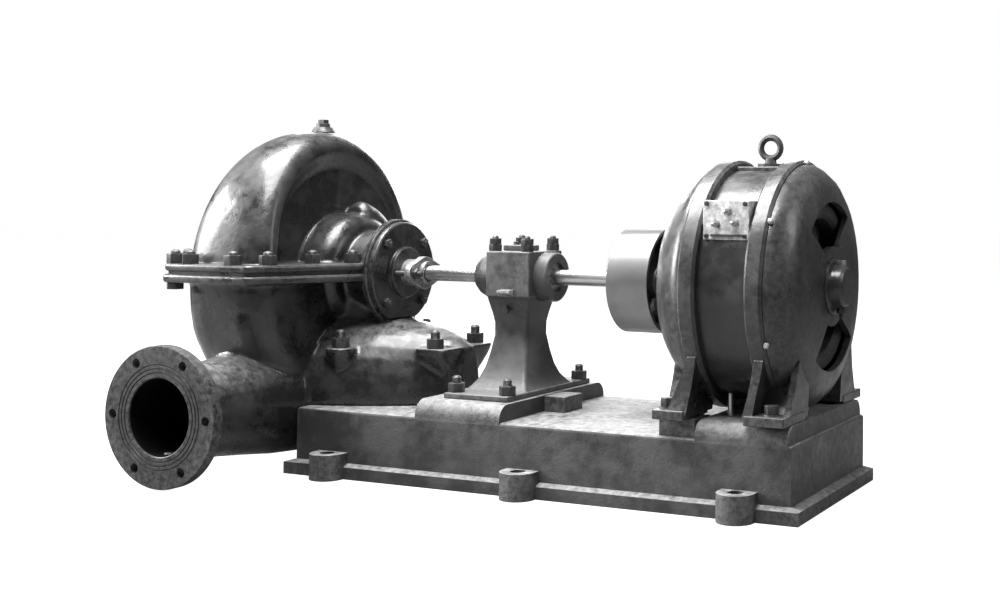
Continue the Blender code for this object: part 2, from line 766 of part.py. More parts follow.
def bearing_pedestal():
    rings = []
    for z, half_x, half_y in COLUMN_STATIONS:
        rings.append(rounded_ring(PEDESTAL_X, z, half_x, half_y, 0.009))
    body = loft("bearing_pedestal", rings)
    plate_y = (-PEDESTAL_PLATE_Y, PEDESTAL_PLATE_Y)
    plate = block("pedestal_plate", PEDESTAL_PLATE_X, plate_y, (PAD_TOP + GAP, PEDESTAL_PLATE_TOP), 0.003)
    lower = block("lower_block", HOUSING_BLOCK_X, (-HOUSING_BLOCK_Y, HOUSING_BLOCK_Y), (-0.047, 0.010), 0.004)
    joined(body, plate, lower, pedestal_body("lower_housing"))
    cut(body, half_space_at("above_pedestal", True), *housing_bores("pedestal"))
    return finished(body, LIGHT_PAINT, 0.4)


def bearing_bush():
    bore = SHAFT_RADIUS + 0.0010
    outer = BUSH_RADIUS - GAP
    profile = [(0.697, bore), (0.697, outer), (0.512, outer), (0.512, bore)]
    return finished(turned("bearing_bush", profile, 32, closed=True), (0.45, 0.36, 0.20), 0.35, 0.9)


def oil_lid():
    top = HOUSING_BLOCK_Z[1]
    body = block("oil_lid", (0.566, 0.642), (-0.022, 0.022), (top + GAP, top + 0.014), 0.003)
    knob = rod("lid_knob", 0.007, (0.590, 0, top + 0.010), (0.590, 0, top + 0.022), 16)
    joined(body, knob)
    return finished(body, LIGHT_PAINT, 0.4)


def oil_spout():
    near = -HOUSING_BLOCK_Y - GAP
    outline = [(near, -0.028), (near - 0.020, -0.030), (near - 0.020, -0.036), (near, -0.046)]
    return finished(extruded("oil_spout", outline, "X", 0.598, 0.632), LIGHT_PAINT, 0.4)


def drain_plug():
    near = -0.0625
    body = rod("drain_plug", 0.009, (0.606, near - 0.012, -0.078), (0.606, near - GAP, -0.078), 16)
    return finished(body, (0.25, 0.25, 0.24), 0.4, 0.7)


def alignment_block():
    end = PEDESTAL_PAD_X[1]
    body = block("alignment_block", (end + GAP, end + 0.056), (-0.052, 0.034), (BASE_TOP + GAP, PAD_TOP - 0.001), 0.002)
    return finished(body, LIGHT_PAINT, 0.5)


def pump_shaft():
    body = rod("pump_shaft", SHAFT_RADIUS, (0.158, 0, 0), (DRUM_X[0] - GAP, 0, 0), 32)
    return finished(body, BARE_STEEL, 0.3, 1.0, SHAFT_AXIS)


def coupling_drum():
    """A cup, open towards the motor, with a coned hub on the shaft."""
    x0, x1 = DRUM_X
    inner = DRUM_RADIUS - DRUM_WALL
    profile = [
        (x1, inner),
        (x1, DRUM_RADIUS - 0.001),
        (x1 - 0.001, DRUM_RADIUS),
        (x0 + 0.002, DRUM_RADIUS),
        (x0, DRUM_RADIUS - 0.002),
        (x0, 0),
        (x1 - 0.022, 0),
        (x1 - 0.022, DRUM_HUB_RADIUS - 0.008),
        (x1 - 0.026, DRUM_HUB_RADIUS - 0.004),
        (x0 + DRUM_WEB + 0.010, DRUM_HUB_RADIUS + 0.010),
        (x0 + DRUM_WEB, DRUM_HUB_RADIUS + 0.022),
        (x0 + DRUM_WEB, inner - 0.006),
        (x0 + DRUM_WEB + 0.006, inner),
    ]
    return finished(drum_body(profile), BARE_STEEL, 0.25, 1.0, SHAFT_AXIS)


def drum_body(profile):
    """The cup's profile starts and ends on the axis, so it is turned as an open line."""
    first = profile.index((DRUM_X[1] - 0.022, 0))
    return turned("coupling_drum", profile[first:] + profile[:first], 48)


def motor_shaft():
    start = DRUM_X[1] - 0.022 + GAP
    body = rod("motor_shaft", MOTOR_SHAFT_RADIUS, (start, 0, 0), (MOTOR_HUB_X + 0.046, 0, 0), 32)
    return finished(body, BARE_STEEL, 0.3, 1.0, SHAFT_AXIS)


def rib(name, side, stations):
    """A foot's rib, which leans as it comes down from the ring to the foot."""
    rings = []
    for z, x0, x1, outer in stations:
        rings.append([(x0, side * 0.110, z), (x1, side * 0.110, z), (x1, side * outer, z), (x0, side * outer, z)])
    return loft(name, rings)


def web(name, side, x0, x1):
    """The hollow wall between the two ribs of a foot."""
    rings = []
    for z, outer in ((-0.120, 0.150), (-0.160, 0.160), (-0.200, 0.172), (-0.240, 0.190), (-0.270, 0.212)):
        rings.append([(x0, side * 0.108, z), (x1, side * 0.108, z), (x1, side * outer, z), (x0, side * outer, z)])
    return loft(name, rings)


def motor_frame():
    """The shell between two rings, which run down into ribbed feet."""
    (a0, a1), (b0, b1) = RING_X
    rounding = 0.006
    profile = [
        (b1, 0),
        (b1, RING_RADIUS - rounding),
        (b1 - rounding, RING_RADIUS),
        (b0 + rounding, RING_RADIUS),
        (b0, RING_RADIUS - rounding),
        (b0, SHELL_RADIUS),
        (a1, SHELL_RADIUS),
        (a1, RING_RADIUS - rounding),
        (a1 - rounding, RING_RADIUS),
        (a0 + rounding, RING_RADIUS),
        (a0, RING_RADIUS - rounding),
        (a0, 0),
    ]
    body = turned("motor_frame", profile, 52)
    parts = [block("top_pad", (a1 - 0.002, b0 + 0.002), (-0.045, 0.045), (0.20, 0.264), 0.003)]
    bottom = PAD_TOP + GAP
    for end, (x0, x1) in zip(("left", "right"), FOOT_X):
        for side, hand in ((-1, "near"), (1, "far")):
            tag = end + "_" + hand
            y = sorted((side * FOOT_INNER_Y, side * FOOT_OUTER_Y))
            parts.append(block("foot_" + tag, (x0, x1), y, (bottom, bottom + FOOT_THICKNESS), 0.002))
            if end == "left":
                parts.append(rib("rib_" + tag, side, LEFT_RIB))
                parts.append(web("web_" + tag, side, 1.096, 1.125))
            else:
                parts.append(rib("rib_" + tag, side, MIDDLE_RIB))
                parts.append(rib("end_rib_" + tag, side, RIGHT_RIB))
                parts.append(web("web_" + tag, side, 1.300, 1.379))
    joined(body, *parts)
    margin = 0.0007
    drive = [(a0 - GAP / 2, 0)] + [(x, radius + margin) for x, radius in DRIVE_SHIELD[1:]] + [(1.0, 0.0580), (1.0, 0)]
    drive[1:1] = [(a0 - GAP / 2, DRIVE_SHIELD[0][1] + margin)]
    free = [(1.45, 0), (1.45, 0.0630)] + [(x + margin, radius + margin) for x, radius in FREE_SHIELD[:-1]]
    free += [(b1 + GAP / 2, FREE_SHIELD[-1][1] + margin), (b1 + GAP / 2, 0)]
    cut(body, turned("drive_shield_room", drive, 44), turned("free_shield_room", free, 44))
    cut(body, block("under_feet", (1.0, 1.5), (-0.4, 0.4), (PAD_TOP - 0.1, PAD_TOP + GAP)))
    return finished(body)


def motor_end_shield_drive():
    profile = [(DRIVE_SHIELD[0][0], 0.0260), *DRIVE_SHIELD, (MOTOR_HUB_X, 0.0260)]
    return finished(turned("motor_end_shield_drive", profile, 44, closed=True))


def motor_end_shield_free():
    """A dished cover with sector openings between its arms."""
    b1 = FREE_SHIELD[-1][0]
    outside = list(FREE_SHIELD)
    inside = [
        (b1, 0.2560),
        (1.350, 0.2540),
        (1.366, 0.2380),
        (1.379, 0.2170),
        (1.387, 0.1900),
        (1.390, 0.1500),
        (1.390, 0.0630),
    ]
    body = turned("motor_end_shield_free", outside + inside, 44, closed=True)
    openings = []
    for tag, middle in (("top", 97), ("bottom", 277)):
        sector = arc((0, 0), 0.187, middle - 42, middle + 42, 10) + arc((0, 0), 0.088, middle + 30, middle - 30, 6)
        openings.append(extruded("opening_" + tag, sector, "X", 1.36, 1.43))
    cut(body, *openings)
    return finished(body)


def motor_hub_free():
    profile = [
        (FREE_END, 0),
        (FREE_END, 0.040),
        (FREE_END - 0.006, 0.046),
        (1.412, 0.050),
        (1.408, 0.0625),
        (1.382, 0.0625),
        (1.382, 0),
    ]
    return finished(turned("motor_hub_free", profile, 32))


def winding_ring():
    profile = [(1.372, 0.150), (1.380, 0.160), (1.380, 0.182), (1.372, 0.192), (1.3416, 0.192), (1.3416, 0.150)]
    return finished(turned("winding_ring", profile, 28, closed=True), (0.05, 0.035, 0.02), 0.6, 0.0)


def terminal_plate():
    x = (RING_X[0][1] + 0.003, RING_X[1][0] - 0.003)
    body = block("terminal_plate", x, (-0.238, -0.190), (0.104, 0.187), 0.002)
    clearance = rod("shell_clearance", SHELL_RADIUS + GAP, (1.1, 0, 0), (1.4, 0, 0), 72)
    cut(body, clearance)
    return finished(body, (0.30, 0.30, 0.29), 0.5)


def lifting_eye():
    mesh = bmesh.new()
    ring_z = 0.264 + 0.043
    rings, around = 22, 8
    rows = []
    for i in range(rings):
        turn = 2 * pi * i / rings
        row = []
        for k in range(around):
            t = 2 * pi * k / around
            reach = EYE_RING_RADIUS + EYE_WIRE_RADIUS * cos(t)
            row.append(mesh.verts.new((EYE_X + reach * cos(turn), EYE_WIRE_RADIUS * sin(t), ring_z + reach * sin(turn))))
        rows.append(row)
    for i in range(rings):
        for k in range(around):
            a, b = rows[i], rows[(i + 1) % rings]
            mesh.faces.new((a[k], a[(k + 1) % around], b[(k + 1) % around], b[k]))
    body = body_from("lifting_eye", mesh)
    washer = rod("eye_washer", 0.029, (EYE_X, 0, 0.264 + GAP), (EYE_X, 0, 0.271), 32)
    neck = rod("eye_neck", 0.015, (EYE_X, 0, 0.268), (EYE_X, 0, 0.284), 24, 0.011)
    joined(body, washer, neck)
    return finished(body, (0.12, 0.12, 0.12), 0.4, 0.6)


def packing_block(name, side):
    y = sorted((side * 0.150, side * 0.230))
    body = block(name, (1.092, 1.176), y, (BASE_TOP + GAP, PAD_TOP), 0.001)
    return finished(body, LIGHT_PAINT, 0.5)


def jack_pin(name, side):
    y = side * 0.150
    body = rod(name, 0.0065, (1.224, y, PAD_TOP + GAP), (1.224, y, PAD_TOP + 0.050), 16)
    return finished(body, BARE_STEEL, 0.4, 1.0)


base_plate()
lower_casing()
upper_casing()
priming_plug()
cover("stuffing_box_cover", 1)
cover("outboard_cover", -1)
gland()
outboard_bearing_cap()
bearing_pedestal()
bearing_cap()
bearing_bush()
oil_lid()
oil_spout()
drain_plug()
alignment_block()
pump_shaft()
coupling_drum()
motor_shaft()
motor_frame()
motor_end_shield_drive()
motor_end_shield_free()
motor_hub_free()
winding_ring()
terminal_plate()
lifting_eye()
packing_block("packing_block_near", -1)
packing_block("packing_block_far", 1)
jack_pin("jack_pin_near", -1)
jack_pin("jack_pin_far", 1)
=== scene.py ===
# %% [markdown]
# A centrifugal pump set for a studio photograph
#
# The set is a split pump casing, a bearing pedestal, a coupling drum and an electric motor on one cast
# base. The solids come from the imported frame. This lesson gives them the finish of old machine paint
# and cast iron, and adds what a fitter would bolt on: studs, nuts, screws, terminals and seals.

# %% Load the frame
from math import cos, pi, radians, sin

import bmesh
import bpy
from mathutils import Matrix, Vector


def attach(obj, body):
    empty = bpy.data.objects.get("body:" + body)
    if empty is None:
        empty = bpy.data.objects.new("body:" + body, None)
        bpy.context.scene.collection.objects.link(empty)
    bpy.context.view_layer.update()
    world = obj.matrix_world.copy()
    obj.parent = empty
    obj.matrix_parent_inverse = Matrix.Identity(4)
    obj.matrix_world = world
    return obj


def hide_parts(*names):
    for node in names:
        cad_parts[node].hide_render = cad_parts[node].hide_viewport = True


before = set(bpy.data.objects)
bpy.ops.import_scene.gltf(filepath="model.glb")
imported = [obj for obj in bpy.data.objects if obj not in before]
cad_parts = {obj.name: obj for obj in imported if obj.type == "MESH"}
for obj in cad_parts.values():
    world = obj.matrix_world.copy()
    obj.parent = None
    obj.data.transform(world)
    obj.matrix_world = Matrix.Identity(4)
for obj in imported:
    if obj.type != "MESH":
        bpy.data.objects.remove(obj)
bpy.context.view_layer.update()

scene = bpy.context.scene

# %% [markdown]
# Every measure below is taken from the shaft. Along the shaft it counts from the middle of the volute,
# sideways and upwards from the shaft's own axis, as a fitter would measure with the casing open. One
# shift then moves a finished mesh to the frame's origin, which is under the middle of the set.

# %% Measure from the shaft
SET_ORIGIN = Vector((-0.5465, 0.0725, 0.472))
SHIFT = Matrix.Translation(SET_ORIGIN)
print("shaft height:", round(SET_ORIGIN.z, 3))

# %% [markdown]
# The photograph was taken with a plate camera from the motor's side, at the height of the pump's dome.
# The camera could be placed by eye. Here its place, its turn and the shift of its lens were solved from
# the straight edges of the base and the round edges of the flanges, so that the set lies in the frame
# as it does in the photograph.

# %% Place the camera
camera_data = bpy.data.cameras.new("plate_camera")
camera_data.sensor_width = 36
camera_data.lens = 48.40
camera_data.shift_x = -0.2440
camera_data.shift_y = -0.1256
camera = bpy.data.objects.new("plate_camera", camera_data)
scene.collection.objects.link(camera)
turn = (
    Matrix.Rotation(radians(22.26), 4, "Z")
    @ Matrix.Rotation(radians(91.27), 4, "X")
    @ Matrix.Rotation(radians(0.58), 4, "Z")
)
camera.matrix_world = Matrix.Translation((1.8000, -2.7571, 0.6451)) @ turn
scene.camera = camera
print("camera at", [round(v, 3) for v in camera.matrix_world.translation])

# %% [markdown]
# The floor is a plain pale sheet. It could be a curved backdrop, but the photograph shows no horizon at
# all, so the floor runs far out and has the tone of the air behind it. It glows a little for the camera
# alone, because a floor that is really as bright as that would light the set from below.

# %% Lay the floor
mesh = bmesh.new()
bmesh.ops.create_grid(mesh, x_segments=1, y_segments=1, size=30.0)
floor_data = bpy.data.meshes.new("studio_floor")
mesh.to_mesh(floor_data)
mesh.free()
floor = bpy.data.objects.new("studio_floor", floor_data)
scene.collection.objects.link(floor)
floor.location.z = -0.0005
floor_paint = bpy.data.materials.new("floor_paint")
floor_paint.use_nodes = True
floor_shader = floor_paint.node_tree.nodes["Principled BSDF"]
floor_shader.inputs["Base Color"].default_value = (0.20, 0.20, 0.20, 1)
floor_shader.inputs["Roughness"].default_value = 0.9
floor_shader.inputs["Specular IOR Level"].default_value = 0.1
floor_shader.inputs["Emission Color"].default_value = (1, 1, 1, 1)
seen_directly = floor_paint.node_tree.nodes.new("ShaderNodeLightPath")
glow = floor_paint.node_tree.nodes.new("ShaderNodeMath")
glow.operation = "MULTIPLY"
glow.inputs[1].default_value = 0.96
floor_paint.node_tree.links.new(seen_directly.outputs["Is Camera Ray"], glow.inputs[0])
floor_paint.node_tree.links.new(glow.outputs["Value"], floor_shader.inputs["Emission Strength"])
floor_data.materials.append(floor_paint)

# %% [markdown]
# The light is soft daylight from the left and from above, with a weak window on the right. Whatever faces
# up is pale and whatever faces the camera is nearly black, so a pale sheet stands behind the set. One
# lamp could do, but glossy black paint mostly shows what it reflects: large panels give it the long
# highlights that the dome and the motor have in the photograph. The lamps themselves stay unseen.

# %% Set up the light
def panel(name, place, target, width, height, power):
    lamp = bpy.data.lights.new(name, "AREA")
    lamp.shape = "RECTANGLE"
    lamp.size = width
    lamp.size_y = height
    lamp.energy = power
    holder = bpy.data.objects.new(name, lamp)
    scene.collection.objects.link(holder)
    holder.location = place
    holder.rotation_euler = (Vector(target) - Vector(place)).to_track_quat("-Z", "Y").to_euler()
    holder.visible_camera = False
    return holder


panel("left_window", (-3.8, -1.5, 1.9), (-0.3, 0.0, 0.4), 2.0, 2.2, 360)
panel("top_panel", (-0.4, -0.5, 3.4), (0.0, 0.0, 0.3), 3.4, 1.8, 420)
panel("back_sheet", (-2.2, 4.2, 1.7), (0.0, 0.0, 0.4), 3.4, 2.2, 110)
panel("right_window", (3.6, 0.4, 2.2), (0.6, 0.0, 0.5), 1.0, 1.8, 30)
room = bpy.data.worlds.new("pale_room")
scene.world = room
room.use_nodes = True
room_nodes, room_links = room.node_tree.nodes, room.node_tree.links
room_light = room_nodes["Background"]
room_light.inputs["Color"].default_value = (1, 1, 1, 1)
room_light.inputs["Strength"].default_value = 0.15
seen = room_nodes.new("ShaderNodeBackground")
seen.inputs["Color"].default_value = (1, 1, 1, 1)
seen.inputs["Strength"].default_value = 1.0
path = room_nodes.new("ShaderNodeLightPath")
blend = room_nodes.new("ShaderNodeMixShader")
room_links.new(path.outputs["Is Camera Ray"], blend.inputs["Fac"])
room_links.new(room_light.outputs["Background"], blend.inputs[1])
room_links.new(seen.outputs["Background"], blend.inputs[2])
room_links.new(blend.outputs["Shader"], room_nodes["World Output"].inputs["Surface"])
scene.view_settings.view_transform = "Standard"

# %% [markdown]
# Three effects come back in most of the finishes: the relief of a sand casting under its paint, a paler
# grey on what faces up, and paint rubbed off along the edges. The paler grey is settled dust in small
# amounts; in large amounts it is painted light from above. Each could be wired anew in every
# material. As node groups they are wired once and only their numbers change.

# %% Build the shared effects
class Wiring:
    """A short way to place and join nodes in one node tree."""

    def __init__(self, tree):
        self.tree = tree

    def node(self, kind, **settings):
        made = self.tree.nodes.new("ShaderNode" + kind)
        for key, value in settings.items():
            setattr(made, key, value)
        return made

    def put(self, socket, value):
        if isinstance(value, bpy.types.NodeSocket):
            self.tree.links.new(value, socket)
        else:
            socket.default_value = value

    def noise(self, vector, scale, detail=3.0, rough=0.55):
        made = self.node("TexNoise")
        self.put(made.inputs["Vector"], vector)
        self.put(made.inputs["Scale"], scale)
        self.put(made.inputs["Detail"], detail)
        self.put(made.inputs["Roughness"], rough)
        return made.outputs["Fac"]

    def math(self, operation, first, second=0.0, clamp=False):
        made = self.node("Math", operation=operation, use_clamp=clamp)
        self.put(made.inputs[0], first)
        self.put(made.inputs[1], second)
        return made.outputs["Value"]

    def spread(self, value, low, high, to_low=0.0, to_high=1.0):
        made = self.node("MapRange")
        for name, given in zip(("Value", "From Min", "From Max", "To Min", "To Max"), (value, low, high, to_low, to_high)):
            self.put(made.inputs[name], given)
        return made.outputs["Result"]

    def mix(self, factor, first, second):
        made = self.node("Mix", data_type="RGBA")
        self.put(made.inputs[0], factor)
        self.put(made.inputs[6], first)
        self.put(made.inputs[7], second)
        return made.outputs[2]


def effect(name, inputs, outputs):
    group = bpy.data.node_groups.new(name, "ShaderNodeTree")
    for label, kind, value in inputs:
        socket = group.interface.new_socket(label, in_out="INPUT", socket_type="NodeSocket" + kind)
        if value is not None:
            socket.default_value = value
    for label in outputs:
        group.interface.new_socket(label, in_out="OUTPUT", socket_type="NodeSocketFloat")
    wires = Wiring(group)
    return group, wires, group.nodes.new("NodeGroupInput"), group.nodes.new("NodeGroupOutput")


relief, w, given, out = effect(
    "casting_relief",
    [("Vector", "Vector", None), ("Lumps", "Float", 0.5), ("Grain", "Float", 0.5), ("Size", "Float", 1.0)],
    ["Height", "Patches"],
)
size = given.outputs["Size"]
broad = w.noise(given.outputs["Vector"], w.math("MULTIPLY", size, 9.0), 2.0)
lumps = w.noise(given.outputs["Vector"], w.math("MULTIPLY", size, 42.0), 3.0)
grain = w.noise(given.outputs["Vector"], w.math("MULTIPLY", size, 260.0), 4.0, 0.65)
height = w.math("ADD", w.math("MULTIPLY", lumps, given.outputs["Lumps"]), w.math("MULTIPLY", broad, given.outputs["Lumps"]))
w.put(out.inputs["Height"], w.math("ADD", height, w.math("MULTIPLY", grain, given.outputs["Grain"])))
w.put(out.inputs["Patches"], w.spread(w.math("ADD", broad, w.math("MULTIPLY", lumps, 0.45)), 0.62, 0.86))

# Upward faces turn a paler grey, broken by noise. At small amounts this is settled dust; at large amounts it is
# painted light from above.
dust_and_top_light_group, w, given, out = effect(
    "settled_dust_and_painted_top_light", [("Vector", "Vector", None), ("Amount", "Float", 0.5), ("Size", "Float", 1.0)], ["Mask"]
)
facing = w.node("SeparateXYZ")
w.put(facing.inputs[0], w.node("NewGeometry").outputs["Normal"])
upward = w.spread(facing.outputs["Z"], 0.35, 0.98)
cloud = w.noise(given.outputs["Vector"], w.math("MULTIPLY", given.outputs["Size"], 60.0), 5.0, 0.7)
w.put(
    out.inputs["Mask"],
    w.math("MULTIPLY", w.math("MULTIPLY", upward, w.spread(cloud, 0.30, 0.68)), given.outputs["Amount"], True),
)

rubbed, w, given, out = effect(
    "rubbed_edges", [("Vector", "Vector", None), ("Amount", "Float", 0.5), ("Reach", "Float", 0.06)], ["Mask"]
)
edge = w.spread(
    w.node("NewGeometry").outputs["Pointiness"], 0.505, w.math("ADD", given.outputs["Reach"], 0.505)
)
broken = w.spread(w.noise(given.outputs["Vector"], 85.0, 4.0, 0.7), 0.38, 0.66)
w.put(out.inputs["Mask"], w.math("MULTIPLY", w.math("MULTIPLY", edge, broken), given.outputs["Amount"], True))
print("effects:", [group.name for group in (relief, dust_and_top_light_group, rubbed)])

# %% [markdown]
# The paint is a dark machine enamel over a rough casting. A plain dark shader would look like plastic.
# The real coat varies: thick and glossy in one place, thin and chalky in the next, with dust on top and
# bare iron where hands and tools rub it. Where the paler grey on upward faces is strong, on the base and
# the lower casing, it is painted light from above as well as dust. One recipe takes those amounts as
# numbers, and each part of the set gets its own.

# %% Mix the paints
def grey(value):
    return (value, value, value * 1.01, 1)


def painted(
    name, dark, light, shine, dull, lumps, grain_amount, dust_and_top_light_amount, wear, bump=0.35, size=1.0, coat=0.0,
    specular=0.5,
):
    """Machine enamel: two tones, a range of gloss, relief, dust with painted top light, and rubbed edges."""
    made = bpy.data.materials.new(name)
    made.use_nodes = True
    w = Wiring(made.node_tree)
    shader = made.node_tree.nodes["Principled BSDF"]
    where = w.node("TexCoord").outputs["Object"]
    cast = w.node("Group", node_tree=relief)
    for label, value in (("Vector", where), ("Lumps", lumps), ("Grain", grain_amount), ("Size", size)):
        w.put(cast.inputs[label], value)
    dust_and_top_light_node = w.node("Group", node_tree=dust_and_top_light_group)
    for label, value in (("Vector", where), ("Amount", dust_and_top_light_amount), ("Size", size)):
        w.put(dust_and_top_light_node.inputs[label], value)
    bare = w.node("Group", node_tree=rubbed)
    for label, value in (("Vector", where), ("Amount", wear)):
        w.put(bare.inputs[label], value)
    tone = w.mix(cast.outputs["Patches"], grey(dark), grey(light))
    tone = w.mix(bare.outputs["Mask"], tone, grey(0.30))
    # Upward faces are mixed towards a paler grey: dust, and where the amount is large, painted light from above.
    tone = w.mix(dust_and_top_light_node.outputs["Mask"], tone, grey(0.34))
    w.put(shader.inputs["Base Color"], tone)
    gloss = w.spread(cast.outputs["Patches"], 0.0, 1.0, shine, dull)
    smear = w.spread(w.noise(where, 21.0 * size, 3.0), 0.35, 0.70, -0.05, 0.09)
    gloss = w.math("ADD", w.math("ADD", gloss, smear), w.math("MULTIPLY", dust_and_top_light_node.outputs["Mask"], 0.35), True)
    w.put(shader.inputs["Roughness"], gloss)
    w.put(shader.inputs["Metallic"], w.math("MULTIPLY", bare.outputs["Mask"], 0.6))
    shader.inputs["Coat Weight"].default_value = coat
    shader.inputs["Coat Roughness"].default_value = 0.12
    relief_bump = w.node("Bump")
    w.put(relief_bump.inputs["Height"], cast.outputs["Height"])
    relief_bump.inputs["Strength"].default_value = bump
    relief_bump.inputs["Distance"].default_value = 0.004
    w.put(shader.inputs["Normal"], relief_bump.outputs["Normal"])
    shader.inputs["Specular IOR Level"].default_value = specular
    return made


casing_paint = painted("casing_paint", 0.012, 0.030, 0.24, 0.46, 0.9, 0.25, 0.10, 0.35, bump=0.42, coat=0.25)
# The lower casing's paint is the casing paint with a large amount of pale grey on upward faces: a lit copy, mostly
# painted light from above with a little dust.
chamber_paint_painted_top_light = painted("chamber_paint_painted_top_light", 0.012, 0.030, 0.22, 0.44, 0.9, 0.25, 0.80, 0.35, bump=0.42, coat=0.25)
flange_paint = painted("flange_paint", 0.008, 0.014, 0.36, 0.50, 0.4, 0.30, 0.08, 0.30, bump=0.25, specular=0.35)
motor_paint = painted("motor_paint", 0.020, 0.034, 0.30, 0.48, 0.5, 0.20, 0.16, 0.35, bump=0.22, coat=0.15)
pedestal_paint = painted("pedestal_paint", 0.045, 0.085, 0.34, 0.55, 0.7, 0.35, 0.35, 0.40, bump=0.35)
# The base's large amount of pale grey on its upward faces is partly dust and partly painted light from above.
base_paint = painted("base_paint", 0.030, 0.070, 0.36, 0.58, 0.8, 0.55, 0.95, 0.45, bump=0.55)
print("paints:", [paint.name for paint in (casing_paint, chamber_paint_painted_top_light, flange_paint, motor_paint, base_paint)])

# %% [markdown]
# Turned steel keeps the fine rings of the lathe, which stretch its highlight across the rings. They
# could be modelled, but they are finer than a hair, so a banded texture round the shaft's axis drives
# the roughness and a faint bump.

# %% Make the bare metals
def turned_metal(name, tone, roughness, rings, soil):
    made = bpy.data.materials.new(name)
    made.use_nodes = True
    w = Wiring(made.node_tree)
    shader = made.node_tree.nodes["Principled BSDF"]
    where = w.node("TexCoord").outputs["Object"]
    bands = w.node("TexWave", bands_direction="X")
    w.put(bands.inputs["Vector"], where)
    w.put(bands.inputs["Scale"], rings)
    w.put(bands.inputs["Distortion"], 0.4)
    w.put(bands.inputs["Detail"], 3.0)
    stain = w.spread(w.noise(where, 26.0, 4.0, 0.6), 0.45, 0.75)
    stain = w.math("MULTIPLY", stain, soil, True)
    w.put(shader.inputs["Base Color"], w.mix(stain, grey(tone), grey(tone * 0.35)))
    shader.inputs["Metallic"].default_value = 1.0
    fine = w.spread(bands.outputs["Fac"], 0.0, 1.0, roughness - 0.06, roughness + 0.06)
    w.put(shader.inputs["Roughness"], w.math("ADD", fine, w.math("MULTIPLY", stain, 0.25), True))
    rings_bump = w.node("Bump")
    w.put(rings_bump.inputs["Height"], bands.outputs["Fac"])
    rings_bump.inputs["Strength"].default_value = 0.10
    rings_bump.inputs["Distance"].default_value = 0.0006
    w.put(shader.inputs["Normal"], rings_bump.outputs["Normal"])
    return made


def raw_metal(name, tone, dirt_tone, roughness, metallic, size=1.0):
    made = bpy.data.materials.new(name)
    made.use_nodes = True
    w = Wiring(made.node_tree)
    shader = made.node_tree.nodes["Principled BSDF"]
    where = w.node("TexCoord").outputs["Object"]
    cast = w.node("Group", node_tree=relief)
    for label, value in (("Vector", where), ("Lumps", 0.3), ("Grain", 0.5), ("Size", 2.5 * size)):
        w.put(cast.inputs[label], value)
    bare = w.node("Group", node_tree=rubbed)
    for label, value in (("Vector", where), ("Amount", 0.8)):
        w.put(bare.inputs[label], value)
    mottled = w.spread(w.noise(where, 75.0 * size, 4.0, 0.65), 0.35, 0.68)
    body = w.mix(mottled, grey(tone), grey(dirt_tone))
    w.put(shader.inputs["Base Color"], w.mix(bare.outputs["Mask"], body, grey(min(1.0, tone * 2.4))))
    shader.inputs["Metallic"].default_value = metallic
    w.put(shader.inputs["Roughness"], w.spread(mottled, 0.0, 1.0, roughness, roughness + 0.22))
    rough_bump = w.node("Bump")
    w.put(rough_bump.inputs["Height"], cast.outputs["Height"])
    rough_bump.inputs["Strength"].default_value = 0.25
    rough_bump.inputs["Distance"].default_value = 0.0015
    w.put(shader.inputs["Normal"], rough_bump.outputs["Normal"])
    return made


bright_steel = turned_metal("bright_steel", 0.62, 0.30, 160.0, 0.35)
drum_steel = turned_metal("drum_steel", 0.27, 0.38, 120.0, 0.22)
bolt_iron = raw_metal("bolt_iron", 0.060, 0.025, 0.36, 0.35)
bare_iron = raw_metal("bare_iron", 0.34, 0.16, 0.36, 0.7)
bronze = raw_metal("bronze", 0.42, 0.20, 0.30, 0.8)
insulating_plate = raw_metal("insulating_plate", 0.42, 0.28, 0.50, 0.0)
winding_tape = raw_metal("winding_tape", 0.035, 0.018, 0.60, 0.0, 1.6)
print("metals:", [metal.name for metal in (bright_steel, drum_steel, bolt_iron, bare_iron, bronze)])

# %% [markdown]
# Most of the solids already have the right shape. They only lack the small radius that every casting
# and every turned part has. Their faces could be rebuilt, but a weld, a narrow bevel and weighted
# normals as modifiers leave the measured mesh as it is.

# %% Dress the solids
FINISHES = {
    "base_plate": (base_paint, 0.0030),
    "alignment_block": (base_paint, 0.0015),
    "packing_block_near": (base_paint, 0.0015),
    "packing_block_far": (base_paint, 0.0015),
    "bearing_pedestal": (pedestal_paint, 0.0020),
    "bearing_cap": (pedestal_paint, 0.0020),
    "oil_lid": (pedestal_paint, 0.0010),
    "oil_spout": (bare_iron, 0.0008),
    "drain_plug": (bolt_iron, 0.0010),
    "bearing_bush": (bronze, 0.0010),
    "stuffing_box_cover": (casing_paint, 0.0015),
    "outboard_cover": (casing_paint, 0.0015),
    "outboard_bearing_cap": (casing_paint, 0.0015),
    "gland": (bare_iron, 0.0012),
    "priming_plug": (bolt_iron, 0.0012),
    "pump_shaft": (bright_steel, 0.0006),
    "motor_shaft": (bright_steel, 0.0006),
    "coupling_drum": (drum_steel, 0.0010),
    "motor_frame": (motor_paint, 0.0022),
    "motor_end_shield_drive": (motor_paint, 0.0015),
    "motor_end_shield_free": (motor_paint, 0.0015),
    "motor_hub_free": (motor_paint, 0.0015),
    "winding_ring": (winding_tape, 0.0015),
    "terminal_plate": (insulating_plate, 0.0012),
    "lifting_eye": (bolt_iron, 0.0006),
    "jack_pin_near": (bright_steel, 0.0008),
    "jack_pin_far": (bright_steel, 0.0008),
}
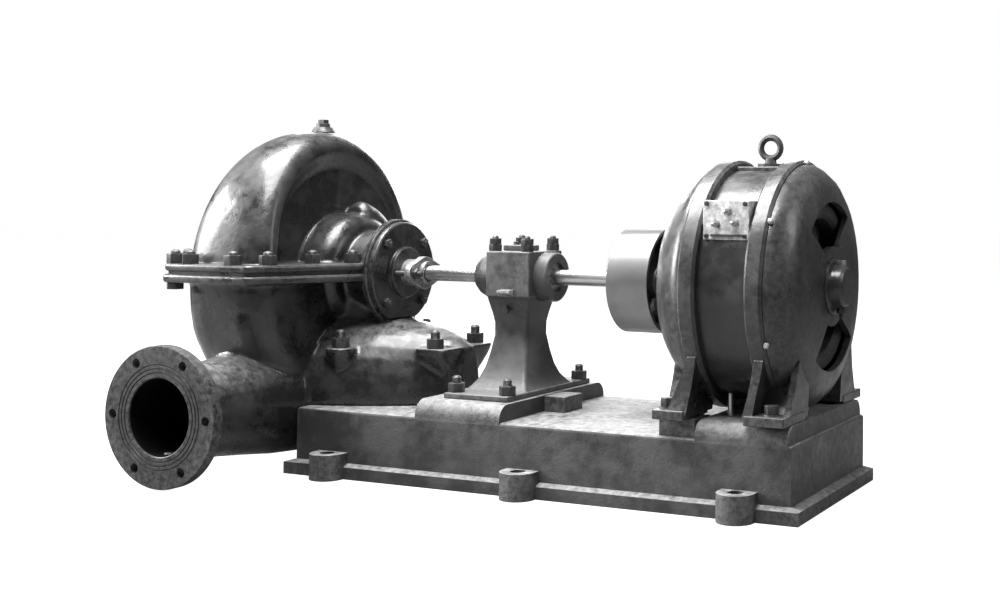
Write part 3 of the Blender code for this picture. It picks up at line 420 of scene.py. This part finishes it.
for name, (finish, radius) in FINISHES.items():
    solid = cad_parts[name]
    solid.data.materials.clear()
    solid.data.materials.append(finish)
    solid.data.polygons.foreach_set("use_smooth", [True] * len(solid.data.polygons))
    weld = solid.modifiers.new("weld", "WELD")
    weld.merge_threshold = 0.00003
    rounding = solid.modifiers.new("rounding", "BEVEL")
    rounding.width = radius
    rounding.segments = 2
    rounding.limit_method = "ANGLE"
    rounding.angle_limit = radians(32)
    rounding.use_clamp_overlap = True
    weighted = solid.modifiers.new("weighted", "WEIGHTED_NORMAL")
    weighted.keep_sharp = False
print("dressed solids:", len(FINISHES))

# %% [markdown]
# New pieces start as bmesh shapes. A helper hands a finished bmesh to an object at the origin, gives it
# its finish, and lets it ride on its body, so that every piece below is made the same way.

# %% Hand a mesh to the set
def piece(name, mesh, finish, body="set", sharp=32):
    data = bpy.data.meshes.new(name)
    mesh.to_mesh(data)
    mesh.free()
    data.transform(SHIFT)
    data.materials.append(finish)
    data.polygons.foreach_set("use_smooth", [True] * len(data.polygons))
    data.set_sharp_from_angle(angle=radians(sharp))
    made = bpy.data.objects.new(name, data)
    scene.collection.objects.link(made)
    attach(made, body)
    return made


def outward(mesh):
    bmesh.ops.remove_doubles(mesh, verts=mesh.verts, dist=0.00001)
    bmesh.ops.recalc_face_normals(mesh, faces=mesh.faces)
    return mesh


# %% [markdown]
# The volute is the snail-shaped shell round the impeller: flat cheeks, a rounded rim, and a radius that
# grows round the turn. The solid has it in broad facets, which would show in glossy paint. Circles
# bent to the section at each angle and bridged to each other give a finer skin, from the same numbers.

# %% Loft a finer volute
STATIONS = (0, 45, 90, 135, 180, 225, 270, 315, 360)
VOLUTE_RADII = (0.300, 0.319, 0.354, 0.369, 0.363, 0.382, 0.398, 0.372, 0.330)
HALF_WIDTHS = (0.066, 0.076, 0.079, 0.097, 0.124, 0.122, 0.116, 0.100, 0.080)
RIM_DEPTHS = (0.060, 0.072, 0.098, 0.104, 0.108, 0.118, 0.124, 0.110, 0.090)
RIM_ROUNDINGS = (0.040, 0.044, 0.044, 0.050, 0.058, 0.066, 0.070, 0.062, 0.050)
CHEEK = 0.060
SKIN = 0.0006


def smooth_value(values, turn):
    """A smooth curve through values that are given at the stations round the shaft."""
    last = len(STATIONS) - 1
    i = max(k for k in range(last) if STATIONS[k] <= turn)
    before, after = max(i - 1, 0), min(i + 2, last)
    span = STATIONS[i + 1] - STATIONS[i]
    t = (turn - STATIONS[i]) / span
    slope_in = (values[i + 1] - values[before]) / (STATIONS[i + 1] - STATIONS[before]) * span
    slope_out = (values[after] - values[i]) / (STATIONS[after] - STATIONS[i]) * span
    rise = values[i + 1] - values[i]
    return values[i] + t * (slope_in + t * (3 * rise - 2 * slope_in - slope_out + t * (slope_in + slope_out - 2 * rise)))


def volute_section(turn):
    turn %= 360
    outer = smooth_value(VOLUTE_RADII, turn) + SKIN
    width = smooth_value(HALF_WIDTHS, turn) + SKIN
    depth = smooth_value(RIM_DEPTHS, turn)
    widest = outer - smooth_value(RIM_ROUNDINGS, turn)
    cheek_edge = outer - depth
    half = [(CHEEK, 0.030)]
    for step in range(8):
        t = step / 8
        swing = t * t * (3 - 2 * t)
        half.append((CHEEK + (width - CHEEK) * swing, cheek_edge + (widest - cheek_edge) * t))
    for step in range(15):
        t = pi / 2 * step / 14
        half.append((width * cos(t) ** 0.88, widest + (outer - widest) * sin(t) ** 0.88))
    return half + [(-x, radius) for x, radius in reversed(half[:-1])]


def ringed(mesh, rings):
    """Bends a circle to each ring and bridges them, with both ends closed."""
    loops = []
    for ring in rings:
        made = bmesh.ops.create_circle(mesh, cap_ends=False, segments=len(ring), radius=1.0)["verts"]
        for vertex, point in zip(made, ring):
            vertex.co = point
        loops.append((made, list({edge for vertex in made for edge in vertex.link_edges})))
    for (_, first), (_, second) in zip(loops, loops[1:]):
        bmesh.ops.bridge_loops(mesh, edges=first + second)
    for made, edges in (loops[0], loops[-1]):
        bmesh.ops.contextual_create(mesh, geom=made)
    return mesh


def fine_volute(first, last, steps):
    rings = []
    for i in range(steps + 1):
        turn_now = first + (last - first) * i / steps
        t = radians(turn_now)
        rings.append([(x, radius * cos(t), radius * sin(t)) for x, radius in volute_section(turn_now)])
    return ringed(bmesh.new(), rings)


print("section at the crown:", len(volute_section(90)), "points")

# %% [markdown]
# The joint flange holds the halves together. Its lips have firm edges that the smoothing would take
# away, so each lip is drawn as its plan, extruded, and its edges are rounded with a bevel.

# %% Draw the joint's lips
JOINT_NEAR = ((0.118, 0.405), (0.131, 0.392), (0.238, 0.138), (0.241, 0.000))
JOINT_FAR = ((0.098, 0.342), (0.135, 0.300), (0.168, 0.250), (0.238, 0.128), (0.241, 0.000))


def joint_plan(grow):
    right = [(x, y) for x, y in JOINT_FAR] + [(x, -y) for x, y in reversed(JOINT_NEAR) if y]
    left = [(-x, y) for x, y in reversed(right)]
    return [(x + grow * (1 if x > 0 else -1), y + grow * (1 if y > 0 else -1)) for x, y in right + left]


def slab(plan, low, high, rounding, corner=0.0, segments=4):
    mesh = bmesh.new()
    ring = [mesh.verts.new((x, y, low)) for x, y in plan]
    face = bmesh.ops.contextual_create(mesh, geom=ring)["faces"][0]
    grown = bmesh.ops.extrude_face_region(mesh, geom=[face])["geom"]
    lid = [item for item in grown if isinstance(item, bmesh.types.BMVert)]
    bmesh.ops.translate(mesh, verts=lid, vec=(0, 0, high - low))
    outward(mesh)
    if corner:
        upright = [
            edge for edge in mesh.edges
            if abs(edge.verts[0].co.z - edge.verts[1].co.z) > 1e-6 and edge.calc_face_angle(0) > 0.2
        ]
        bmesh.ops.bevel(mesh, geom=upright, offset=corner, segments=4, profile=0.5, affect="EDGES", material=-1)
    rim = [edge for edge in mesh.edges if edge.calc_face_angle(0) > 0.9]
    bmesh.ops.bevel(mesh, geom=rim, offset=rounding, segments=segments, profile=0.5, affect="EDGES", material=-1)
    return mesh


piece("joint_lip_upper", slab(joint_plan(0.0012), 0.0092, 0.0268, 0.0062, 0.006), casing_paint)
piece("joint_lip_lower", slab(joint_plan(0.0038), -0.0178, 0.0010, 0.0058, 0.006), casing_paint)
print("lips drawn")

# %% [markdown]
# A sand casting has a soft radius where one form runs into another. Bevels on such a joined shape break
# easily. Instead the fine volute and a copy of the solid are fused by a voxel remesh, and a few rounds
# of smoothing run the forms into each other as the moulder's fillets do.

# %% Fuse the casing's halves
def solid_copy(node):
    """The node's mesh as a welded bmesh, measured from the shaft."""
    mesh = bmesh.new()
    mesh.from_mesh(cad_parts[node].data)
    bmesh.ops.transform(mesh, matrix=SHIFT.inverted(), verts=mesh.verts)
    bmesh.ops.remove_doubles(mesh, verts=mesh.verts, dist=0.00003)
    return mesh


def add_mesh(mesh, other):
    data = bpy.data.meshes.new("passing")
    other.to_mesh(data)
    other.free()
    mesh.from_mesh(data)
    bpy.data.meshes.remove(data)
    return mesh


def fused(name, mesh, finish, voxel, rounds, node, cut_at=None, cut_normal=None):
    made = piece(name, mesh, finish)
    remesh = made.modifiers.new("fuse", "REMESH")
    remesh.mode = "VOXEL"
    remesh.voxel_size = voxel
    remesh.use_smooth_shade = True
    fillet = made.modifiers.new("fillet", "SMOOTH")
    fillet.factor = 0.5
    fillet.iterations = rounds
    bpy.context.view_layer.update()
    skin = bpy.data.meshes.new_from_object(made.evaluated_get(bpy.context.evaluated_depsgraph_get()))
    made.modifiers.clear()
    made.data = skin
    skin.name = name
    if cut_at:
        trimmed = bmesh.new()
        trimmed.from_mesh(skin)
        flat_end(trimmed, Vector(cut_at) + SET_ORIGIN, cut_normal)
        trimmed.to_mesh(skin)
        trimmed.free()
    skin.materials.clear()
    skin.materials.append(finish)
    skin.polygons.foreach_set("use_smooth", [True] * len(skin.polygons))
    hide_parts(node)
    print(name, "faces:", len(skin.polygons))
    return made


def flat_end(mesh, point, normal, bored=False):
    """Cuts the mesh at a plane, drops what lies beyond, and closes the cut, with its bore left open."""
    everything = mesh.verts[:] + mesh.edges[:] + mesh.faces[:]
    bmesh.ops.bisect_plane(mesh, geom=everything, plane_co=point, plane_no=normal, clear_outer=True)
    rim = [edge for edge in mesh.edges if edge.is_boundary]
    if bored:
        bmesh.ops.bridge_loops(mesh, edges=rim)
    else:
        bmesh.ops.holes_fill(mesh, edges=rim, sides=0)
    return mesh


HOOD = (
    (0.040, 0.161, 0.147), (0.092, 0.160, 0.1465), (0.113, 0.157, 0.145), (0.130, 0.150, 0.140),
    (0.143, 0.138, 0.131), (0.151, 0.122, 0.119), (0.1535, 0.107, 0.107),
)


def hood(side, steps=40, exponent=2.1):
    """The passage that bends in over the shaft: an arch that closes towards the stuffing box."""
    rings = []
    for x, half_width, top in HOOD:
        ring = []
        for i in range(steps + 1):
            t = pi * i / steps
            across = abs(cos(t)) ** (2 / exponent) * (1 if cos(t) > 0 else -1)
            ring.append((side * x, half_width * across, (top + 0.02) * sin(t) ** (2 / exponent) - 0.02))
        rings.append(ring)
    return ringed(bmesh.new(), rings)


def back_lobe(side, steps=30, around=24):
    """The raised end of the passage behind the hood, from the crown down to the far side."""
    rings = []
    for i in range(steps + 1):
        t = radians(86 - 88 * i / steps)
        swell = min(1.0, 0.66 + 0.17 * i)
        ring = []
        for k in range(around):
            a = 2 * pi * k / around
            radius = 0.136 + 0.046 * swell * sin(a)
            ring.append((side * (0.096 + 0.040 * swell * cos(a)), radius * cos(t), radius * sin(t)))
        rings.append(ring)
    return ringed(bmesh.new(), rings)


def barrel(side, low, high, radius, segments=72):
    mesh = bmesh.new()
    bmesh.ops.create_cone(
        mesh, cap_ends=True, segments=segments, radius1=radius, radius2=radius, depth=high - low
    )
    return facing_x(mesh, side * (low + high) / 2)


def facing_x(mesh, x):
    place = Matrix.Translation((x, 0, 0)) @ Matrix.Rotation(pi / 2, 4, "Y")
    bmesh.ops.transform(mesh, matrix=place, verts=mesh.verts)
    return mesh


upper = outward(fine_volute(-3, 183, 110))
add_mesh(upper, outward(barrel(1, -0.0585, 0.0585, 0.080)))
for side in (1, -1):
    for part in (hood(side), back_lobe(side), barrel(side, 0.050, 0.246, 0.101)):
        add_mesh(upper, outward(part))
add_mesh(upper, outward(slab(joint_plan(-0.004), -0.006, 0.0245, 0.004)))
upper_skin = fused("upper_casing_skin", upper, casing_paint, 0.0036, 14, "upper_casing", (0, 0, 0.0004), (0, 0, -1))

BEHIND_SUCTION_FLANGE = (0, -0.512, 0)
lower = flat_end(solid_copy("lower_casing"), BEHIND_SUCTION_FLANGE, (0, -1, 0), bored=True)
add_mesh(lower, outward(flat_end(fine_volute(179, 361, 110), (0, 0, -0.0006), (0, 0, 1))))
lower_skin = fused("lower_casing_skin", lower, chamber_paint_painted_top_light, 0.0050, 10, "lower_casing")

# %% [markdown]
# Hexagon nuts, studs and screws hold everything together. A bare six-sided prism looks like a toy: a
# real nut is chamfered at its corners by a turning tool, and a stud has threads and a rounded end. The
# nut is a six-sided cone section bevelled at both faces. The stud is spun from a toothed profile.

# %% Make the fasteners
def facing_z(mesh, place, direction):
    rotation = Vector(direction).to_track_quat("Z", "Y").to_matrix().to_4x4()
    bmesh.ops.transform(mesh, matrix=Matrix.Translation(place) @ rotation, verts=mesh.verts)
    return mesh


def nut(across, thick, twist=0.0, washer=0.0):
    """A hexagon with its corners turned off, from its seat upwards."""
    mesh = bmesh.new()
    radius = across / 2 / cos(radians(30))
    bmesh.ops.create_cone(mesh, cap_ends=True, segments=6, radius1=radius, radius2=radius, depth=thick)
    bmesh.ops.rotate(mesh, cent=(0, 0, 0), matrix=Matrix.Rotation(radians(twist), 3, "Z"), verts=mesh.verts)
    bmesh.ops.translate(mesh, vec=(0, 0, thick / 2 + washer), verts=mesh.verts)
    corners = mesh.verts[:]
    bmesh.ops.bevel(mesh, geom=corners, offset=across * 0.085, segments=2, profile=0.5, affect="VERTICES", material=-1)
    sides = [edge for edge in mesh.edges if edge.calc_face_angle(0) > 0.5]
    bmesh.ops.bevel(mesh, geom=sides, offset=across * 0.018, segments=2, profile=0.5, affect="EDGES", material=-1)
    if washer:
        ring = bmesh.new()
        bmesh.ops.create_cone(ring, cap_ends=True, segments=28, radius1=across * 0.66, radius2=across * 0.64, depth=washer)
        bmesh.ops.translate(ring, vec=(0, 0, washer / 2), verts=ring.verts)
        add_mesh(mesh, ring)
    return mesh


def stud(radius, low, high, pitch=0.003, threads=True):
    """A threaded rod with a domed end, spun from its profile."""
    mesh = bmesh.new()
    line = [(0.0, high), (radius * 0.55, high - radius * 0.06), (radius * 0.86, high - radius * 0.28)]
    z = high - radius * 0.45
    if threads:
        while z > low + pitch:
            line += [(radius, z), (radius * 0.90, z - pitch / 2)]
            z -= pitch
    line += [(radius, z), (radius, low), (0.0, low)]
    ring = [mesh.verts.new((x, 0, height)) for x, height in line]
    edges = [mesh.edges.new(pair) for pair in zip(ring, ring[1:])]
    bmesh.ops.spin(
        mesh, geom=ring + edges, cent=(0, 0, 0), axis=(0, 0, 1), angle=2 * pi, steps=16, use_merge=True
    )
    return outward(mesh)


def stud_and_nut(across, thick, stud_radius, above, twist, washer=0.003, second=0.0):
    mesh = nut(across, thick, twist, washer)
    top = washer + thick
    if second:
        upper_nut = nut(across, second, twist + 24)
        bmesh.ops.translate(upper_nut, vec=(0, 0, top + 0.0004), verts=upper_nut.verts)
        add_mesh(mesh, upper_nut)
        top += second
    add_mesh(mesh, stud(stud_radius, top - 0.004, top + above))
    return mesh


def placed(name, spots, maker, direction=(0, 0, 1), finish=None, body="set"):
    """The same fastener in many spots, each turned a little differently, as one piece."""
    whole = bmesh.new()
    for i, spot in enumerate(spots):
        add_mesh(whole, facing_z(maker((i * 37 + 11) % 60), Vector(spot), direction))
    return piece(name, whole, finish or bolt_iron, body, sharp=28)


print("faces of one nut and stud:", len(stud_and_nut(0.036, 0.022, 0.0115, 0.010, 0).faces))

# %% [markdown]
# The fasteners go where the photograph shows them. Where the dome or the casing hides them, they follow
# the same spacing on the far side, because a joint under pressure is bolted all the way round.

# %% Bolt the casing together
JOINT_NUTS = (
    (-0.114, -0.379), (-0.064, -0.384), (0.064, -0.384), (0.128, -0.340), (0.148, -0.210), (0.203, -0.128),
    (-0.133, -0.322), (-0.165, -0.225), (-0.203, -0.128), (-0.062, 0.322), (0.062, 0.322),
    (0.118, 0.276), (-0.118, 0.276), (0.160, 0.216), (-0.160, 0.216), (0.205, 0.122), (-0.205, 0.122),
)
placed(
    "joint_nuts",
    [(x, y, 0.0266) for x, y in JOINT_NUTS],
    lambda twist: stud_and_nut(0.036, 0.023, 0.0115, 0.010, twist, 0.0),
)
placed(
    "joint_bolt_heads",
    [(x, y, -0.0176) for x, y in (JOINT_NUTS[0], (-0.062, 0.322), (0.062, 0.322))],
    lambda twist: nut(0.036, 0.017, twist),
    (0, 0, -1),
)
placed(
    "bracket_nuts",
    [(x, y * side, -0.1772) for side in (-1, 1) for x, y in ((0.207, 0.174), (0.4186, 0.0858))],
    lambda twist: stud_and_nut(0.037, 0.024, 0.0118, 0.021, twist, 0.0),
)
COVER_FACE = 0.2634
for side, tag in ((1, "drive"), (-1, "outboard")):
    placed(
        "cover_screws_" + tag,
        [(side * COVER_FACE, y, z) for y in (-0.073, 0.073) for z in (-0.073, 0.073)],
        lambda twist: stud_and_nut(0.022, 0.010, 0.0065, 0.004, twist, 0.0),
        (side, 0, 0),
    )
placed(
    "gland_nuts",
    [(0.3282, y, 0.0) for y in (-0.049, 0.049)],
    lambda twist: stud_and_nut(0.023, 0.012, 0.0070, 0.012, twist, 0.0),
    (1, 0, 0),
)
placed("gland_studs", [(0.2640, y, 0.0) for y in (-0.049, 0.049)], lambda twist: stud(0.0068, 0.0, 0.050), (1, 0, 0))
print("joint nuts:", len(JOINT_NUTS))

# %% [markdown]
# The pedestal and the motor stand on the base and are bolted down, and the bearing's cap is held by four
# studs with two nuts each, because a shaking bearing works a single nut loose. The same helpers serve:
# only the sizes, the spots and the second nut differ.

# %% Bolt down the pedestal and the motor
placed(
    "pedestal_nuts",
    [(x, side * 0.167, -0.2640) for side in (-1, 1) for x in (0.537, 0.675)],
    lambda twist: stud_and_nut(0.034, 0.021, 0.0105, 0.017, twist, 0.0),
)
placed(
    "cap_nuts",
    [(x, side * 0.060, 0.0620) for side in (-1, 1) for x in (0.569, 0.657)],
    lambda twist: stud_and_nut(0.027, 0.016, 0.0080, 0.007, twist, 0.0, 0.014),
)
placed(
    "motor_foot_bolts",
    [(x, side * y, -0.2566) for side in (-1, 1) for x, y in ((1.108, 0.222), (1.350, 0.232))],
    lambda twist: nut(0.027, 0.019, twist, 0.003),
)
print("feet bolted down")

# %% [markdown]
# The suction flange meets the pipe. It is turned flat, with three fine grooves that bite into the
# gasket. Boolean cuts in the fused casting would be ragged, so the disc is a piece of its own: a
# profile with the grooves in it is spun round the branch's axis, and the bolt holes are cut afterwards.

# %% Turn the suction flange
SUCTION_CENTRE = (0.010, -0.308)
FACE_Y = 0.545


def spun_about_branch(line, centre, side, steps=120):
    """Spins a profile of (radius, distance from the middle) pairs round a branch's axis."""
    mesh = bmesh.new()
    ring = [mesh.verts.new((centre[0] + radius, side * y, centre[1])) for radius, y in line]
    edges = [mesh.edges.new(pair) for pair in zip(ring, ring[1:] + ring[:1])]
    bmesh.ops.spin(
        mesh, geom=ring + edges, cent=(centre[0], 0, centre[1]), axis=(0, 1, 0), angle=2 * pi, steps=steps,
        use_merge=True,
    )
    return outward(mesh)


def flange_disc(name, centre, side, face, thick, edge, bore, holes, hole_radius, grooves, depth):
    line = [(bore, face - depth), (bore, face - 0.002), (bore + 0.002, face)]
    for groove in grooves:
        line += [(groove - 0.0016, face), (groove - 0.0008, face - 0.0012), (groove + 0.0008, face - 0.0012)]
        line += [(groove + 0.0016, face)]
    line += [(edge - 0.002, face), (edge, face - 0.002), (edge, face - thick + 0.003), (edge - 0.003, face - thick)]
    line += [(bore + 0.030, face - thick), (bore + 0.024, face - thick - 0.006), (bore + 0.0225, face - depth)]
    made = piece(name, spun_about_branch(line, centre, side), flange_paint)
    drills = bmesh.new()
    for i in range(6):
        t = 2 * pi * i / 6
        spot = (centre[0] + holes * cos(t), side * (face - thick / 2), centre[1] + holes * sin(t))
        drill = bmesh.new()
        bmesh.ops.create_cone(
            drill, cap_ends=True, segments=32, radius1=hole_radius, radius2=hole_radius, depth=thick * 3
        )
        add_mesh(drills, facing_z(drill, spot, (0, 1, 0)))
    drill_data = bpy.data.meshes.new("drills")
    outward(drills).to_mesh(drill_data)
    drills.free()
    drill_data.transform(SHIFT)
    holder = bpy.data.objects.new("drills", drill_data)
    scene.collection.objects.link(holder)
    step = made.modifiers.new("holes", "BOOLEAN")
    step.operation = "DIFFERENCE"
    step.solver = "EXACT"
    step.object = holder
    bpy.context.view_layer.update()
    skin = bpy.data.meshes.new_from_object(made.evaluated_get(bpy.context.evaluated_depsgraph_get()))
    made.modifiers.clear()
    made.data = skin
    bpy.data.objects.remove(holder)
    skin.polygons.foreach_set("use_smooth", [True] * len(skin.polygons))
    skin.set_sharp_from_angle(angle=radians(24))
    print(name, "faces:", len(skin.polygons))
    return made


flange_disc("suction_flange", SUCTION_CENTRE, -1, FACE_Y, 0.028, 0.160, 0.0875, 0.135, 0.011, (0.099, 0.108, 0.117), 0.05)

# %% [markdown]
# Inside the branch the iron is rough and lies in deep shade, and the eye should get lost in it. Light paint would
# show where the solid's bore ends. A thin near-black cup lines the bore: it is painted shade for the
# dark inside of the passage.

# %% Line the bore with painted shade
# A near-black, almost unreflective paint: painted shade for the inside of the branch.
bore_painted_shade = painted("bore_painted_shade", 0.002, 0.004, 0.80, 0.90, 0.8, 0.5, 0.0, 0.0, bump=0.2, specular=0.05)
cup = [(0.0, 0.3990), (0.0872, 0.3990), (0.0872, 0.5405), (0.0850, 0.5405), (0.0850, 0.4050), (0.0, 0.4050)]
piece("suction_bore_shade_cup", spun_about_branch(cup, SUCTION_CENTRE, -1, 72), bore_painted_shade)
lump = bmesh.new()
bmesh.ops.create_icosphere(lump, subdivisions=3, radius=0.010)
bmesh.ops.scale(lump, vec=(1.2, 0.8, 0.45), verts=lump.verts)
bmesh.ops.translate(lump, vec=(0.018, -0.520, -0.308 - 0.0838), verts=lump.verts)
piece("casting_lump", lump, bolt_iron)

# %% [markdown]
# A ring round each stuffing box carries its cover. It is turned, so it keeps firm edges, and the fused
# casting only meets it from behind. Its profile is spun round the shaft's axis.

# %% Turn the stuffing-box rings
def spun_about_shaft(line, side=1, steps=96):
    mesh = bmesh.new()
    ring = [mesh.verts.new((side * x, 0, radius)) for x, radius in line]
    edges = [mesh.edges.new(pair) for pair in zip(ring, ring[1:] + ring[:1])]
    bmesh.ops.spin(
        mesh, geom=ring + edges, cent=(0, 0, 0), axis=(1, 0, 0), angle=2 * pi, steps=steps, use_merge=True
    )
    return outward(mesh)


BOX_RING = (
    (0.2310, 0.090), (0.2310, 0.1290), (0.2322, 0.1326), (0.2350, 0.1340), (0.2390, 0.1338), (0.2402, 0.1316),
    (0.2414, 0.1316), (0.2426, 0.1338), (0.2462, 0.1338), (0.2479, 0.1318), (0.2479, 0.090),
)
for side, tag in ((1, "drive"), (-1, "outboard")):
    piece("stuffing_box_ring_" + tag, spun_about_shaft(BOX_RING, side), casing_paint)
print("rings turned")

# %% [markdown]
# The terminals bring the current in: three brass studs with nuts on an insulating plate, over a slot
# through which the leads pass. A small key and four screws hold the plate.

# %% Fit the terminals
PLATE_FACE = -0.2380
placed(
    "terminals",
    [(x, PLATE_FACE, z) for x, z in ((1.251, 0.163), (1.224, 0.137), (1.267, 0.140))],
    lambda twist: stud_and_nut(0.013, 0.007, 0.0035, 0.011, twist, 0.002, 0.004),
    (0, -1, 0),
    bronze,
)
placed(
    "plate_screws",
    [(x, PLATE_FACE, z) for x in (1.202, 1.289) for z in (0.112, 0.180)],
    lambda twist: nut(0.009, 0.004, twist),
    (0, -1, 0),
)


def small_box(low, high, rounding):
    mesh = bmesh.new()
    bmesh.ops.create_cube(mesh, size=1)
    middle = (Vector(low) + Vector(high)) / 2
    span = Vector(high) - Vector(low)
    bmesh.ops.transform(mesh, matrix=Matrix.Translation(middle) @ Matrix.Diagonal((*span, 1)), verts=mesh.verts)
    bmesh.ops.bevel(
        mesh, geom=mesh.edges[:], offset=rounding, segments=3, profile=0.5, affect="EDGES", material=-1
    )
    return mesh


piece("terminal_slot_bar", small_box((1.212, -0.2435, 0.1115), (1.288, -0.2370, 0.1165), 0.0012), bolt_iron)

# %% [markdown]
# Set screws lock the pole pieces from outside, and the outer bearing has a filling plug above and a
# drain below. They are small, but the motor looks unfinished without them.

# %% Add the motor's small fittings
placed(
    "pole_screws",
    [(1.3395, 0.272 * cos(radians(a)), 0.272 * sin(radians(a))) for a in (92, 148, 204, 32, 332, 270)],
    lambda twist: stud(0.0068, 0.0, 0.010, threads=False),
    (1, 0, 0),
    bare_iron,
)
placed("hub_plug", [(1.424, 0.0, 0.046)], lambda twist: nut(0.017, 0.012, twist), (0, 0, 1), bare_iron)
placed("hub_drain", [(1.424, 0.0, -0.046)], lambda twist: stud_and_nut(0.020, 0.012, 0.006, 0.012, twist, 0.0), (0, 0, -1))
